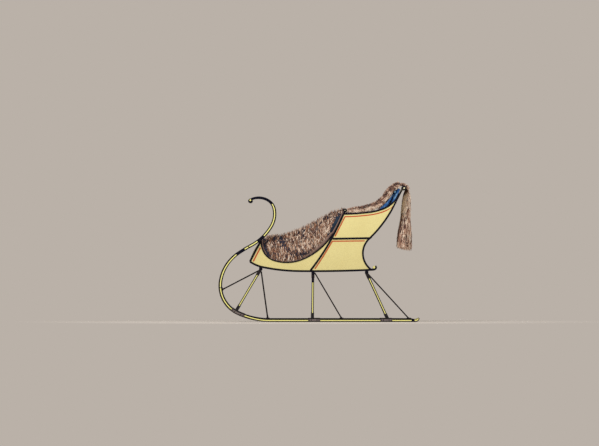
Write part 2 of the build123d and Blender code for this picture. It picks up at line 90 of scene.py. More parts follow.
def inTable(rows, place):
    # the value at a place in a table of (place, value), in rising order
    for (low, first), (high, last) in zip(rows, rows[1:]):
        if place <= high:
            return between(first, last, max(0.0, (place - low) / (high - low)))
    return rows[-1][1]


def evenly(values, share):
    # the value at a share from 0 to 1 along evenly spaced values
    reach = share * (len(values) - 1)
    k = min(int(reach), len(values) - 2)
    return between(values[k], values[k + 1], reach - k)


def circle(count):
    return [(math.cos(math.tau * k / count), math.sin(math.tau * k / count)) for k in range(count)]


def walk(line, distance):
    # the place and heading at a distance along an outline
    x, z = line["start"]
    heading = line["heading"]
    for length, turn in line["rows"]:
        part = min(distance, length)
        half = math.radians(turn * part / length) / 2
        chord = part if abs(half) < 1e-9 else part * math.sin(half) / half
        x += chord * math.cos(math.radians(heading) + half)
        z += chord * math.sin(math.radians(heading) + half)
        heading += turn * part / length
        distance -= part
        if distance <= 0:
            break
    return x, z, heading


def lengthOf(line):
    return sum(length for length, turn in line["rows"])


def beside(station, shift):
    # the place at a shift to the left of an outline
    x, z, heading = station
    return x - shift * math.sin(math.radians(heading)), z + shift * math.cos(math.radians(heading))


def section(station, y, ring):
    # points round an outline that runs at y, from rows of (shift to the left, distance outwards)
    return [Vector((beside(station, shift)[0], y + out, beside(station, shift)[1])) for shift, out in ring]


def evenRing(half):
    # a ring that is the same on both sides, from the rows of its outer side
    whole = half + [(shift, -out) for shift, out in half[::-1]]
    return whole[-1:] + whole[:-1]


def sideY(x, z, offset=0.0):
    # half width of the body there, offset outwards from the panels' outer faces
    slope = math.radians(swell["taper"])
    reach = math.sqrt((swell["radius"] + offset) ** 2 - (z - swell["centreZ"]) ** 2)
    return (reach + swell["centreY"] * math.cos(slope) + (x - swell["x"]) * math.sin(slope)) / math.cos(slope)


def onBody(x, z, offset):
    return Vector((x, sideY(x, z, offset), z))


def marks(low, high, step, extras=()):
    # distances from low to high, about a step apart, with the extra ones among them
    count = max(1, round((high - low) / step))
    found = {round(low + (high - low) * k / count, 6) for k in range(count + 1)}
    extras = {value for value in extras if low < value < high}
    found = {value for value in found if all(abs(value - extra) > 0.3 * step for extra in extras)} | extras
    return sorted(found | {low, high})


def heightOn(line, x):
    # the height at which an outline passes x, from points 10 mm apart
    last = walk(line, 0.0)
    for k in range(1, int(lengthOf(line) * 100) + 2):
        here = walk(line, k * 0.01)
        if (last[0] - x) * (here[0] - x) <= 0 and here[0] != last[0]:
            return between(last[1], here[1], (x - last[0]) / (here[0] - last[0]))
        last = here
    return last[1]


def along(points, distance):
    # the point at a distance along a broken line
    for first, last in zip(points, points[1:]):
        length = math.dist(first, last)
        if distance <= length or last is points[-1]:
            share = min(1.0, distance / length)
            return tuple(between(a, b, share) for a, b in zip(first, last))
        distance -= length


def nearness(points, x, z):
    # distance from a broken line in side view
    best = math.inf
    for (ax, az), (bx, bz) in zip(points, points[1:]):
        reach = (bx - ax) ** 2 + (bz - az) ** 2
        share = min(1.0, max(0.0, ((x - ax) * (bx - ax) + (z - az) * (bz - az)) / reach))
        best = min(best, math.hypot(x - between(ax, bx, share), z - between(az, bz, share)))
    return best


# Meshes: rings of points joined to a skin, and the calls that each finished piece needs
def newObject(name, data):
    made = bpy.data.objects.new(name, data)
    bpy.context.scene.collection.objects.link(made)
    return made


def reshape(mesh, work):
    # runs work, a function of the opened mesh, and writes the result back
    form = bmesh.new()
    form.from_mesh(mesh)
    work(form)
    form.to_mesh(mesh)
    form.free()


def shaded(piece, sharp):
    # smooth shading, with sharp edges from that angle on
    piece.data.shade_smooth()
    piece.data.set_sharp_from_angle(angle=math.radians(sharp))
    return piece


def ringMesh(rings, closedRing=True, capped=True):
    # points, faces and each face's spot: the number of its ring and its place round it
    verts = [tuple(point) for ring in rings for point in ring]
    size = len(rings[0])
    spots = [(k, j) for k in range(len(rings) - 1) for j in range(size if closedRing else size - 1)]
    faces = []
    for k, j in spots:
        following = (j + 1) % size
        faces.append((k * size + j, k * size + following, (k + 1) * size + following, (k + 1) * size + j))
    if capped:
        faces += [tuple(range(size)), tuple(range(len(verts) - size, len(verts)))]
        spots += [(0, -1), (len(rings) - 2, -1)]
    return verts, faces, spots


def newPiece(name, verts, faces, materials, chosen=None, sharp=35.0, closed=True):
    mesh = bpy.data.meshes.new(name)
    mesh.from_pydata(verts, [], faces)
    for material in materials:
        mesh.materials.append(material)
    if chosen:
        mesh.polygons.foreach_set("material_index", chosen)
    if closed:
        reshape(mesh, lambda form: bmesh.ops.recalc_face_normals(form, faces=form.faces))
    return shaded(newObject(name, mesh), sharp)


def skinned(name, rings, materials, sharp=35.0, capped=True, pick=None):
    # rings joined to one piece; pick gives the material's number from a face's spot
    verts, faces, spots = ringMesh(rings, capped=capped)
    return newPiece(name, verts, faces, materials, [pick(*spot) for spot in spots] if pick else None, sharp)


def settle(piece):
    # turns what the modifiers make into a plain mesh
    seen = bpy.context.evaluated_depsgraph_get()
    mesh = bpy.data.meshes.new_from_object(piece.evaluated_get(seen))
    piece.modifiers.clear()
    piece.data = mesh
    return piece


def joined(name, pieces):
    # several meshes as one piece
    form = bmesh.new()
    materials = []
    for piece in pieces:
        places = []
        for material in piece.data.materials:
            if material not in materials:
                materials.append(material)
            places.append(materials.index(material))
        for face in piece.data.polygons:
            face.material_index = places[face.material_index]
        form.from_mesh(piece.data)
        bpy.data.objects.remove(piece)
    mesh = bpy.data.meshes.new(name)
    form.to_mesh(mesh)
    form.free()
    for material in materials:
        mesh.materials.append(material)
    return newObject(name, mesh)


def mirrored(piece, name):
    # the same piece on the left side
    mesh = piece.data.copy()
    for vertex in mesh.vertices:
        vertex.co.y = -vertex.co.y
    mesh.flip_normals()
    return newObject(name, mesh)


def finish(piece, slot, nodes=()):
    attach(piece, "root")
    if nodes:
        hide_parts(*nodes)
    return piece


def finishPair(right, base, slot, nodes=()):
    # right is the piece at +Y: its mirror image is made, and both stand for the nodes named
    right.name = base + "Right"
    left = mirrored(right, base + "Left")
    finish(right, slot, [node + "_right" for node in nodes])
    finish(left, slot, [node + "_left" for node in nodes])
    return right, left


def mergedCopy(node, name):
    # a node's mesh with its flat faces whole
    def merge(form):
        bmesh.ops.remove_doubles(form, verts=form.verts, dist=0.00002)
        bmesh.ops.dissolve_limit(form, angle_limit=math.radians(0.3), verts=form.verts, edges=form.edges)
    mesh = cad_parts[node].data.copy()
    reshape(mesh, merge)
    for layer in list(mesh.attributes):
        if layer.name == "custom_normal":
            mesh.attributes.remove(layer)
    mesh.materials.clear()
    return newObject(name, mesh)


def eased(node, name, material, width):
    # a copy of a node with its edges eased
    piece = mergedCopy(node, name)
    piece.data.materials.append(material)
    ease = piece.modifiers.new("ease", "BEVEL")
    ease.width = width
    ease.segments = 2
    ease.limit_method = "ANGLE"
    ease.angle_limit = math.radians(35)
    return shaded(settle(piece), 32)


# Node trees: short calls for placing and joining nodes
class Wiring:
    def __init__(self, tree):
        self.tree = tree

    def add(self, kind, values=None, **settings):
        node = self.tree.nodes.new(kind)
        for key, value in settings.items():
            setattr(node, key, value)
        for place, value in (values or {}).items():
            self.put(node.inputs[place], value)
        return node

    def out(self, kind, values=None, output=0, **settings):
        return self.add(kind, values, **settings).outputs[output]

    def put(self, socket, value):
        if isinstance(value, bpy.types.NodeSocket):
            self.tree.links.new(value, socket)
        else:
            socket.default_value = value

    def math(self, operation, first, second=0.0):
        return self.out("ShaderNodeMath", {0: first, 1: second}, operation=operation)

    def times(self, first, second, *more):
        product = self.math("MULTIPLY", first, second)
        return self.times(product, *more) if more else product

    def mixed(self, first, share, second, other):
        # a sum of two values, each with its weight
        return self.math("ADD", self.times(first, share), self.times(second, other))

    def vector(self, operation, *values):
        return self.out("ShaderNodeVectorMath", dict(enumerate(values)), operation=operation)

    def scaled(self, vector, scale):
        return self.out("ShaderNodeVectorMath", {0: vector, 3: scale}, operation="SCALE")

    def blend(self, share, first, second, mode="MIX"):
        return self.add("ShaderNodeMix", {"Factor": share, "A": first, "B": second}, data_type="RGBA",
                        blend_type=mode).outputs["Result"]

    def noise(self, place, scale, detail=3.0, rough=0.5, stretch=None):
        if stretch:
            place = self.vector("MULTIPLY", place, stretch)
        return self.out("ShaderNodeTexNoise", {
            "Vector": place, "Scale": scale, "Detail": detail, "Roughness": rough}, "Fac")

    def ramp(self, value, low, high, fromLow=0.0, toHigh=1.0):
        return self.out("ShaderNodeMapRange", {
            "Value": value, "From Min": low, "From Max": high, "To Min": fromLow, "To Max": toHigh}, "Result")

    def give(self, **results):
        # the group's outputs
        kinds = {"Colour": "Color", "Result": "Geometry"}
        for title in results:
            self.tree.interface.new_socket(name=title, in_out="OUTPUT",
                                           socket_type="NodeSocket" + kinds.get(title, "Float"))
        self.add("NodeGroupOutput", results)
        return self.tree


def newGroup(family, name, **inputs):
    # a node group with the kind of each input, its wiring and the sockets that bring the inputs in
    group = bpy.data.node_groups.new(name, family)
    for title, kind in inputs.items():
        group.interface.new_socket(name=title, in_out="INPUT", socket_type="NodeSocket" + kind)
    wire = Wiring(group)
    return wire, wire.add("NodeGroupInput").outputs


# Shader effects that several finishes share
def makeVarnishEffect():
    # brushed coach varnish: slow changes of tone and fine brush marks that follow one direction
    wire, given = newGroup("ShaderNodeTree", "brushedVarnish", Vector="Vector", Colour="Color", Deep="Color",
                           Mottle="Float", Brush="Vector")
    slow = wire.noise(given["Vector"], 5.0, 4.0, 0.6)
    small = wire.noise(given["Vector"], 38.0, 3.0, 0.6)
    brushed = wire.noise(wire.vector("MULTIPLY", given["Vector"], given["Brush"]), 1.0, 2.0)
    share = wire.times(wire.ramp(wire.mixed(slow, 0.65, small, 0.35), 0.38, 0.68), given["Mottle"])
    return wire.give(Colour=wire.blend(share, given["Colour"], given["Deep"]),
                     Roughness=wire.ramp(small, 0.3, 0.7, 0.24, 0.42),
                     Height=wire.mixed(brushed, 0.6, small, 0.4))


def makeWearEffect():
    # worn edges: the mask is high on convex edges, broken up by noise
    wire, given = newGroup("ShaderNodeTree", "wornEdges", Vector="Vector", Colour="Color", Under="Color",
                           Amount="Float")
    edge = wire.ramp(wire.out("ShaderNodeNewGeometry", output="Pointiness"), 0.52, 0.6)
    broken = wire.ramp(wire.noise(given["Vector"], 90.0, 4.0, 0.65), 0.45, 0.62)
    mask = wire.times(edge, broken, given["Amount"])
    return wire.give(Colour=wire.blend(mask, given["Colour"], given["Under"]))


def makeDustEffect():
    # a little pale dust on faces that look up
    wire, given = newGroup("ShaderNodeTree", "settledDust", Vector="Vector", Colour="Color", Dust="Color",
                           Amount="Float")
    normal = wire.out("ShaderNodeNewGeometry", output="Normal")
    upward = wire.ramp(wire.out("ShaderNodeSeparateXYZ", {"Vector": normal}, 2), 0.2, 1.0)
    patchy = wire.ramp(wire.noise(given["Vector"], 14.0, 5.0, 0.65), 0.35, 0.75)
    mask = wire.times(upward, patchy, given["Amount"])
    return wire.give(Colour=wire.blend(mask, given["Colour"], given["Dust"]))


def makeGrainEffect():
    # wood grain: long streaks along the stretched direction, with pores
    wire, given = newGroup("ShaderNodeTree", "woodGrain", Vector="Vector", Light="Color", Dark="Color",
                           Stretch="Vector")
    place = wire.vector("MULTIPLY", given["Vector"], given["Stretch"])
    bent = wire.noise(place, 1.2, 3.0, 0.6)
    rings = wire.out("ShaderNodeTexWave", {
        "Vector": place, "Scale": 0.7, "Distortion": 9.0, "Detail": 3.0}, "Fac")
    tone = wire.mixed(rings, 0.55, bent, 0.45)
    pores = wire.ramp(wire.noise(place, 6.0, 2.0, 0.7), 0.3, 0.5, 0.0, 0.5)
    return wire.give(Colour=wire.blend(wire.ramp(tone, 0.2, 0.85), given["Light"], given["Dark"]),
                     Height=wire.math("ADD", wire.times(tone, -0.5), pores))


def makeWeaveEffect():
    # woven wool under a felted nap
    wire, given = newGroup("ShaderNodeTree", "woolWeave", Vector="Vector", Colour="Color", Worn="Color",
                           Threads="Float")
    parts = wire.add("ShaderNodeSeparateXYZ", {"Vector": given["Vector"]}).outputs
    warp, weft = (wire.math("SINE", wire.times(wire.math("ADD", parts[axis], parts[1]), given["Threads"]))
                  for axis in (0, 2))
    nap = wire.noise(given["Vector"], 420.0, 2.0, 0.7)
    wear = wire.times(wire.ramp(wire.noise(given["Vector"], 9.0, 4.0, 0.6), 0.42, 0.75), 0.55)
    colour = wire.blend(wear, given["Colour"], given["Worn"])
    colour = wire.blend(wire.ramp(nap, 0.35, 0.7, 0.0, 0.25), colour, (0.0, 0.0, 0.0, 1.0), "MULTIPLY")
    return wire.give(Colour=colour, Height=wire.mixed(wire.times(warp, weft), 0.25, nap, 0.75))


varnishEffect = makeVarnishEffect()
wearEffect = makeWearEffect()
dustEffect = makeDustEffect()
grainEffect = makeGrainEffect()
weaveEffect = makeWeaveEffect()

# Colours as they look, each from 0 to 255
paints = {
    "body": (220, 207, 142), "bodyDeep": (210, 194, 128), "runner": (236, 229, 138),
    "runnerDeep": (214, 203, 108), "black": (9, 9, 20), "blackDeep": (17, 17, 34), "stripe": (178, 70, 38),
    "stripeDeep": (192, 92, 50), "cream": (226, 218, 176), "iron": (15, 13, 15), "ironDeep": (30, 26, 28),
    "rust": (92, 58, 40), "steel": (26, 23, 25), "clip": (114, 104, 101), "clipDeep": (90, 82, 79),
    "boardLight": (132, 98, 64), "boardDark": (84, 58, 36), "bare": (150, 116, 78), "dust": (196, 188, 172),
    "navy": (14, 30, 48), "navyWorn": (34, 58, 78), "brown": (120, 95, 84), "brownWorn": (150, 122, 108),
    # of the blues, the palest is a painted highlight and the deepest a painted shade, both for the blue cloth
    "blue": (12, 82, 146), "bluePaintedHighlight": (146, 192, 214), "bluePaintedShade": (8, 30, 70),
}


def paint(red, green, blue):
    def linear(value):
        value /= 255
        return value / 12.92 if value <= 0.04045 else ((value + 0.055) / 1.055) ** 2.4
    return linear(red), linear(green), linear(blue), 1.0


shade = {name: paint(*value) for name, value in paints.items()}


class Finish:
    # one material: a Principled shader with its wiring
    def __init__(self, name):
        self.material = bpy.data.materials.new(name)
        self.material.use_nodes = True
        self.material.node_tree.nodes.clear()
        self.wire = Wiring(self.material.node_tree)
        self.shader = self.wire.add("ShaderNodeBsdfPrincipled")
        self.output = self.wire.add("ShaderNodeOutputMaterial", {"Surface": self.shader.outputs[0]})
        self.place = self.wire.out("ShaderNodeTexCoord", output="Object")

    def effect(self, group, **values):
        return self.wire.add("ShaderNodeGroup", {"Vector": self.place, **values}, node_tree=group).outputs

    def dusty(self, colour, amount):
        return self.effect(dustEffect, Colour=colour, Dust=shade["dust"], Amount=amount)["Colour"]

    def done(self, height=None, distance=0.0006, strength=0.5, **values):
        # sets the shader's values and its bump, and returns the material
        for title, value in values.items():
            self.wire.put(self.shader.inputs[title.replace("_", " ")], value)
        if height is not None:
            self.wire.put(self.shader.inputs["Normal"], self.wire.out("ShaderNodeBump", {
                "Height": height, "Distance": distance, "Strength": strength}))
        return self.material


def varnished(name, colour, deep, mottle, brush, wear=0.25, coat=0.35, shine=0.35, dust=0.12):
    look = Finish(name)
    varnish = look.effect(varnishEffect, Colour=shade[colour], Deep=shade[deep], Mottle=mottle, Brush=brush)
    worn = look.effect(wearEffect, Colour=varnish["Colour"], Under=shade["bare"], Amount=wear)
    return look.done(varnish["Height"], strength=0.25, Base_Color=look.dusty(worn["Colour"], dust),
                     Roughness=varnish["Roughness"], Specular_IOR_Level=shine, Coat_Weight=coat,
                     Coat_Roughness=0.16)


def forged(name, colour, deep, metallic, rough, wear, shine, dust=0.03):
    look = Finish(name)
    hammered = look.wire.noise(look.place, 120.0, 2.0)
    fine = look.wire.noise(look.place, 600.0, 3.0, 0.6)
    mixed = look.wire.blend(look.wire.ramp(hammered, 0.35, 0.7), shade[colour], shade[deep])
    worn = look.effect(wearEffect, Colour=mixed, Under=shade["rust"], Amount=wear)
    height = look.wire.math("ADD", hammered, look.wire.times(fine, 0.2))
    roughness = look.wire.ramp(fine, 0.3, 0.7, rough - 0.08, rough + 0.1)
    return look.done(height, 0.0008, Base_Color=look.dusty(worn["Colour"], dust), Metallic=metallic,
                     Specular_IOR_Level=shine, Roughness=roughness)


def wooden(name, light, dark, stretch):
    look = Finish(name)
    grain = look.effect(grainEffect, Light=shade[light], Dark=shade[dark], Stretch=stretch)
    return look.done(grain["Height"], Base_Color=look.dusty(grain["Colour"], 0.25),
                     Roughness=look.wire.ramp(grain["Height"], -0.5, 0.5, 0.5, 0.72))


def woollen(name, colour, worn):
    look = Finish(name)
    cloth = look.effect(weaveEffect, Colour=shade[colour], Worn=shade[worn], Threads=2600.0)
    return look.done(cloth["Height"], 0.0005, 0.6, Base_Color=cloth["Colour"], Roughness=0.8,
                     Sheen_Weight=0.2, Sheen_Roughness=0.4, Specular_IOR_Level=0.3)


def makeBlueCloth():
    # blue wool satin with painted light: noise bands darkened to near-navy, a painted shade, and long pale
    # bands, a painted highlight
    look = Finish("clothBlue")
    cloth = look.effect(weaveEffect, Colour=shade["blue"], Worn=shade["blue"], Threads=2400.0)
    bands = look.wire.noise(look.place, 1.0, 3.0, 0.6, (22.0, 22.0, 9.0))
    deep = look.wire.blend(look.wire.ramp(bands, 0.36, 0.50, 1.0, 0.0), cloth["Colour"], shade["bluePaintedShade"])
    light = look.wire.blend(look.wire.ramp(bands, 0.60, 0.68, 0.0, 0.75), deep, shade["bluePaintedHighlight"])
    return look.done(cloth["Height"], 0.0005, Base_Color=light, Roughness=0.5, Sheen_Weight=0.4,
                     Sheen_Roughness=0.35, Specular_IOR_Level=0.4)


def makeHairFinish(name, colours):
    # hair colour runs from dark to pale by the lock's own tone, paler towards its tip
    look = Finish(name)
    tone, tip = (look.wire.out("ShaderNodeAttribute", output="Fac", attribute_name=title)
                 for title in ("tone", "tip"))
    ramp = look.wire.add("ShaderNodeValToRGB", {
        "Fac": look.wire.math("ADD", tone, look.wire.ramp(tip, 0.0, 1.0, -0.12, 0.12))})
    elements = ramp.color_ramp.elements
    while len(elements) < len(colours):
        elements.new(0.5)
    for element, position, colour in zip(elements, (0.0, 0.2, 0.42, 0.6, 0.8, 1.0), colours):
        element.position = position
        element.color = paint(*colour)
    return look.done(Base_Color=ramp.outputs["Color"], Roughness=0.62, Specular_IOR_Level=0.25,
                     Sheen_Weight=0.2)


def makeHideFinish(name, dark, light):
    # short underwool on the hide, seen between the locks
    look = Finish(name)
    clumps = look.wire.noise(look.place, 60.0, 4.0, 0.7, (1.0, 1.0, 0.35))
    colour = look.wire.blend(look.wire.ramp(clumps, 0.35, 0.7), paint(*dark), paint(*light))
    return look.done(clumps, 0.004, 0.8, Base_Color=colour, Roughness=0.9, Specular_IOR_Level=0.15)


bodyYellow = varnished("bodyYellow", "body", "bodyDeep", 0.55, (3.0, 3.0, 60.0), 0.1)
runnerYellow = varnished("runnerYellow", "runner", "runnerDeep", 0.5, (4.0, 60.0, 60.0), 0.3)
railBlack = varnished("railBlack", "black", "blackDeep", 0.6, (30.0, 30.0, 30.0), 0.03, 0.02, 0.06, 0.015)
stripeRed = varnished("stripeRed", "stripe", "stripeDeep", 0.6, (20.0, 20.0, 20.0), 0.0, 0.1, 0.15)
scrollCream = varnished("scrollCream", "cream", "body", 0.4, (20.0, 20.0, 20.0), 0.0, 0.1, 0.2)
ironBlack = forged("ironBlack", "iron", "ironDeep", 0.0, 0.48, 0.15, 0.12)
shoeSteel = forged("shoeSteel", "steel", "iron", 0.3, 0.5, 0.3, 0.25)
stayIron = forged("stayIron", "iron", "ironDeep", 0.0, 0.65, 0.05, 0.03, 0.0)
clipIron = forged("clipIron", "clip", "clipDeep", 0.0, 0.55, 0.4, 0.25)
boardWood = wooden("boardWood", "boardLight", "boardDark", (24.0, 2.2, 24.0))
liningNavy = woollen("liningNavy", "navy", "navyWorn")
liningBrown = woollen("liningBrown", "brown", "brownWorn")
clothBlue = makeBlueCloth()
robeHair = makeHairFinish("robeHair", [
    (22, 32, 54), (58, 38, 32), (126, 82, 58), (166, 120, 91), (196, 166, 142), (226, 206, 186)])
seatHairFinish = makeHairFinish("seatRobeHairFinish", [
    (58, 40, 38), (98, 64, 52), (146, 104, 84), (180, 138, 114), (208, 172, 146), (234, 212, 190)])
robeHide = makeHideFinish("robeHide", (48, 36, 36), (104, 74, 62))
seatHideFinish = makeHideFinish("seatRobeHideFinish", (112, 84, 68), (158, 124, 102))
print("finishes made")


# Geometry Nodes trees, and the calls that use them
def store(mesh, title, values):
    # one value for each vertex, a number or three
    if isinstance(values[0], float):
        layer = mesh.attributes.new(title, "FLOAT", "POINT")
        layer.data.foreach_set("value", values)
    else:
        layer = mesh.attributes.new(title, "FLOAT_VECTOR", "POINT")
        layer.data.foreach_set("vector", [part for value in values for part in value])


def stored(wire, title, kind="FLOAT"):
    return wire.out("GeometryNodeInputNamedAttribute", {"Name": title}, data_type=kind)


def realised(wire, placed, material):
    # the instances as one mesh in its material
    real = wire.out("GeometryNodeRealizeInstances", {"Geometry": placed})
    return wire.out("GeometryNodeSetMaterial", {"Geometry": real, "Material": material})


def grown(piece, tree, **values):
    # the piece as the tree makes it, settled to a plain mesh
    modifier = piece.modifiers.new(tree.name, "NODES")
    modifier.node_group = tree
    for item in tree.interface.items_tree:
        if item.item_type == "SOCKET" and item.in_out == "INPUT" and item.name in values:
            modifier[item.identifier] = values[item.name]
    return settle(piece)


def makeHeadTree():
    # round heads on their washers, one at each point, facing along the point's aim
    wire, given = newGroup("GeometryNodeTree", "fastenerHeads", Places="Geometry", Dome="Float", Rim="Float",
                           Finish="Material")
    ball = wire.out("GeometryNodeMeshUVSphere", {"Segments": 12, "Rings": 6, "Radius": 1.0}, "Mesh")
    size = wire.out("ShaderNodeCombineXYZ", {"X": 1.0, "Y": 1.0, "Z": given["Dome"]})
    dome = wire.out("GeometryNodeTransform", {"Geometry": ball, "Scale": size})
    washer = wire.out("GeometryNodeMeshCylinder", {
        "Vertices": 16, "Radius": given["Rim"], "Depth": 0.3}, "Mesh")
    both = wire.add("GeometryNodeJoinGeometry")
    for source in (dome, washer):
        wire.put(both.inputs[0], source)
    aim = stored(wire, "aim", "FLOAT_VECTOR")
    placed = wire.out("GeometryNodeInstanceOnPoints", {
        "Points": wire.out("GeometryNodeMeshToPoints", {"Mesh": given["Places"]}),
        "Instance": both.outputs[0], "Scale": stored(wire, "size"),
        "Rotation": wire.out("FunctionNodeAlignRotationToVector", {"Vector": aim}, axis="Z")})
    return wire.give(Result=realised(wire, placed, given["Finish"]))


hairFacts = ("comb", "cover", "lift", "reach", "pale")


def makeHairTree():
    # locks of hair on a hide: each a tapered curved blade, laid along the hide's own comb direction
    wire, given = newGroup("GeometryNodeTree", "hairLocks", Hide="Geometry", Density="Float", Length="Float",
                           Width="Float", Stray="Float", Curl="Float", Clumps="Vector", Seed="Int",
                           Finish="Material")

    def chance(low, high, kind="FLOAT", shift=0):
        node = wire.add("FunctionNodeRandomValue", data_type=kind)
        sockets = [socket for socket in node.inputs if socket.enabled]
        wire.put(sockets[0], low)
        wire.put(sockets[1], high)
        wire.put(node.inputs["Seed"], wire.math("ADD", given["Seed"], float(shift)))
        return next(socket for socket in node.outputs if socket.enabled)

    def centred(value, weight):
        return wire.times(wire.math("SUBTRACT", value, 0.5), weight)

    spread = wire.add("GeometryNodeDistributePointsOnFaces", {
        "Mesh": given["Hide"], "Density": wire.times(given["Density"], stored(wire, "cover")),
        "Seed": given["Seed"]}).outputs
    lifted = wire.scaled(spread["Normal"], stored(wire, "lift"))
    lay = wire.vector("NORMALIZE", wire.vector("ADD", stored(wire, "comb", "FLOAT_VECTOR"), lifted))
    wild = wire.scaled(chance((-1.0, -1.0, -1.0), (1.0, 1.0, 1.0), "FLOAT_VECTOR"), given["Stray"])
    aim = wire.vector("NORMALIZE", wire.vector("ADD", lay, wild))
    upright = wire.out("FunctionNodeAlignRotationToVector", {"Vector": aim}, axis="Z")
    facing = wire.out("FunctionNodeAlignRotationToVector", {"Rotation": upright, "Vector": spread["Normal"]},
                      axis="Y", pivot_axis="Z")
    position = wire.out("GeometryNodeInputPosition")
    grid = wire.out("GeometryNodeMeshGrid", {
        "Size X": 1.0, "Size Y": 1.0, "Vertices X": 2, "Vertices Y": 3}, "Mesh")
    spot = wire.add("ShaderNodeSeparateXYZ", {"Vector": position}).outputs
    tip = wire.math("ADD", spot[1], 0.5)
    taper = wire.math("SUBTRACT", 1.0, wire.times(wire.math("POWER", tip, 1.6), 0.92))
    shape = wire.out("ShaderNodeCombineXYZ", {
        "X": wire.times(spot[0], taper), "Y": wire.times(tip, tip, given["Curl"], -1.0), "Z": tip})
    tipped = wire.out("GeometryNodeStoreNamedAttribute", {"Geometry": grid, "Name": "tip", "Value": tip},
                      data_type="FLOAT", domain="POINT")
    blade = wire.out("GeometryNodeSetPosition", {"Geometry": tipped, "Position": shape})
    reach = wire.times(given["Length"], stored(wire, "reach"), chance(0.6, 1.25, shift=1))
    width = wire.times(given["Width"], chance(0.6, 1.3, shift=2))
    placed = wire.out("GeometryNodeInstanceOnPoints", {
        "Points": spread["Points"], "Instance": blade, "Rotation": facing,
        "Scale": wire.out("ShaderNodeCombineXYZ", {"X": width, "Y": reach, "Z": reach})})
    where = wire.vector("MULTIPLY", position, given["Clumps"])
    clump = wire.out("ShaderNodeTexNoise", {"Vector": where, "Scale": 1.0, "Detail": 1.5}, "Fac")
    wide = wire.out("ShaderNodeTexNoise", {"Vector": where, "Scale": 0.23, "Detail": 1.0}, "Fac")
    # the tone is random clumps plus each hide's pale value, which carries the painted shade and painted
    # highlights set on the robes
    tone = wire.math("ADD", centred(clump, 3.7), 0.47)
    for more in (centred(wide, 0.15), chance(-0.18, 0.18, shift=3), stored(wire, "pale")):
        tone = wire.math("ADD", tone, more)
    kept = wire.out("GeometryNodeStoreNamedAttribute", {"Geometry": placed, "Name": "tone", "Value": tone},
                    data_type="FLOAT", domain="INSTANCE")
    for title in hairFacts:
        kept = wire.out("GeometryNodeRemoveAttribute", {"Geometry": kept, "Name": title})
    return wire.give(Result=realised(wire, kept, given["Finish"]))


headTree = makeHeadTree()
hairTree = makeHairTree()


def heads(name, places, material, slot, dome=0.55, rim=1.35):
    # places are rows of (point, aim, radius)
    points, aims, sizes = zip(*places)
    mesh = bpy.data.meshes.new(name)
    mesh.from_pydata([tuple(point) for point in points], [], [])
    store(mesh, "aim", aims)
    store(mesh, "size", sizes)
    piece = grown(newObject(name, mesh), headTree, Dome=dome, Rim=rim, Finish=material)
    return finish(shaded(piece, 40), slot)


def bothSides(places):
    return places + [(Vector((p.x, -p.y, p.z)), Vector((a.x, -a.y, a.z)), radius) for p, a, radius in places]


# Runners: bent bars, yellow with black edges, black where irons and painter's ends are
runnerBar = {
    "y": 0.44, "halfWidth": 0.014, "inside": -0.016, "outside": 0.010, "chamfer": 0.0028, "core": 0.0045,
    "edge": 0.001, "step": 0.016, "black": [(2.452, 2.552), (2.700, 2.786), (3.135, 3.4)],
    "coreShifts": [(0.0, 0.0015), (1.45, 0.0015), (1.65, -0.0035), (2.4, -0.0035), (2.48, 0.0), (3.4, 0.0)],
    "halfDepths": [(0.0, 0.016), (3.0833, 0.016), (3.1387, 0.01475), (3.1941, 0.0135), (3.2817, 0.0125),
                   (3.3692, 0.0105)],
}
shoe = {"flatTo": 0.96196, "curlRadius": 0.038, "curlTurn": 85.0, "curlSteps": 14, "thickness": 0.006,
        "reach": 2.4, "step": 0.02}


def makeRunner():
    # the shoe is let into the underside as far as it reaches
    line = outlines["runner"]
    wide, cut, edge = (runnerBar[key] for key in ("halfWidth", "chamfer", "edge"))
    ends = [value for stretch in runnerBar["black"] for value in stretch]
    ends += [shoe["reach"], shoe["reach"] + edge]
    distances = marks(0.0, lengthOf(line), runnerBar["step"], ends)
    rings = []
    for distance in distances:
        half = inTable(runnerBar["halfDepths"], distance)
        outside = runnerBar["outside"] if distance <= shoe["reach"] else half
        core = runnerBar["core"] * half / runnerBar["halfDepths"][0][1]
        middle = inTable(runnerBar["coreShifts"], distance)
        ring = evenRing([(-half, wide - cut), (cut - half, wide), (middle - core, wide),
                         (middle + core, wide), (outside - edge, wide), (outside, wide - edge)])
        rings.append(section(walk(line, distance), runnerBar["y"], ring))

    def pick(k, j):
        # yellow on the middle strips of both cheeks, outside the black stretches
        place = (distances[k] + distances[k + 1]) / 2
        return 1 if j not in (3, 9) or any(low < place < high for low, high in runnerBar["black"]) else 0
    return skinned("bar", rings, [runnerYellow, railBlack], pick=pick)


# the yellow disc at eye, above the ball's centre, is a painted highlight on the black knob
knob = {"place": (-0.685, 1.206), "radius": 0.023, "eye": (-0.685, 1.2125), "highlightRadius": 0.0085,
        "highlightSet": 0.945, "turns": (3, *range(12, 169, 12), 177)}


def turned(profile, x, z, y, materials):
    # rings of (radius, distance outwards) round an axis across the body
    rings = [[Vector((x + radius * cosine, y + out, z + radius * sine)) for cosine, sine in circle(24)]
             for radius, out in profile]
    return skinned("turned", rings, materials)


def makeKnob():
    # a turned ball with a yellow disc high on its outer face, a painted highlight
    ball = [(knob["radius"] * math.sin(math.radians(turn)), -knob["radius"] * math.cos(math.radians(turn)))
            for turn in knob["turns"]]
    button = [(knob["highlightRadius"] * share, out) for share, out in (
        (1.0, -0.006), (1.0, 0.0), (0.9, 0.0012), (0.6, 0.0024), (0.2, 0.0030))]
    return [turned(ball, *knob["place"], runnerBar["y"], [railBlack]),
            turned(button, *knob["eye"], runnerBar["y"] + knob["radius"] * knob["highlightSet"], [runnerYellow])]


shaftEye = {"x": -0.9833, "z": 0.3422, "bore": 0.0055}


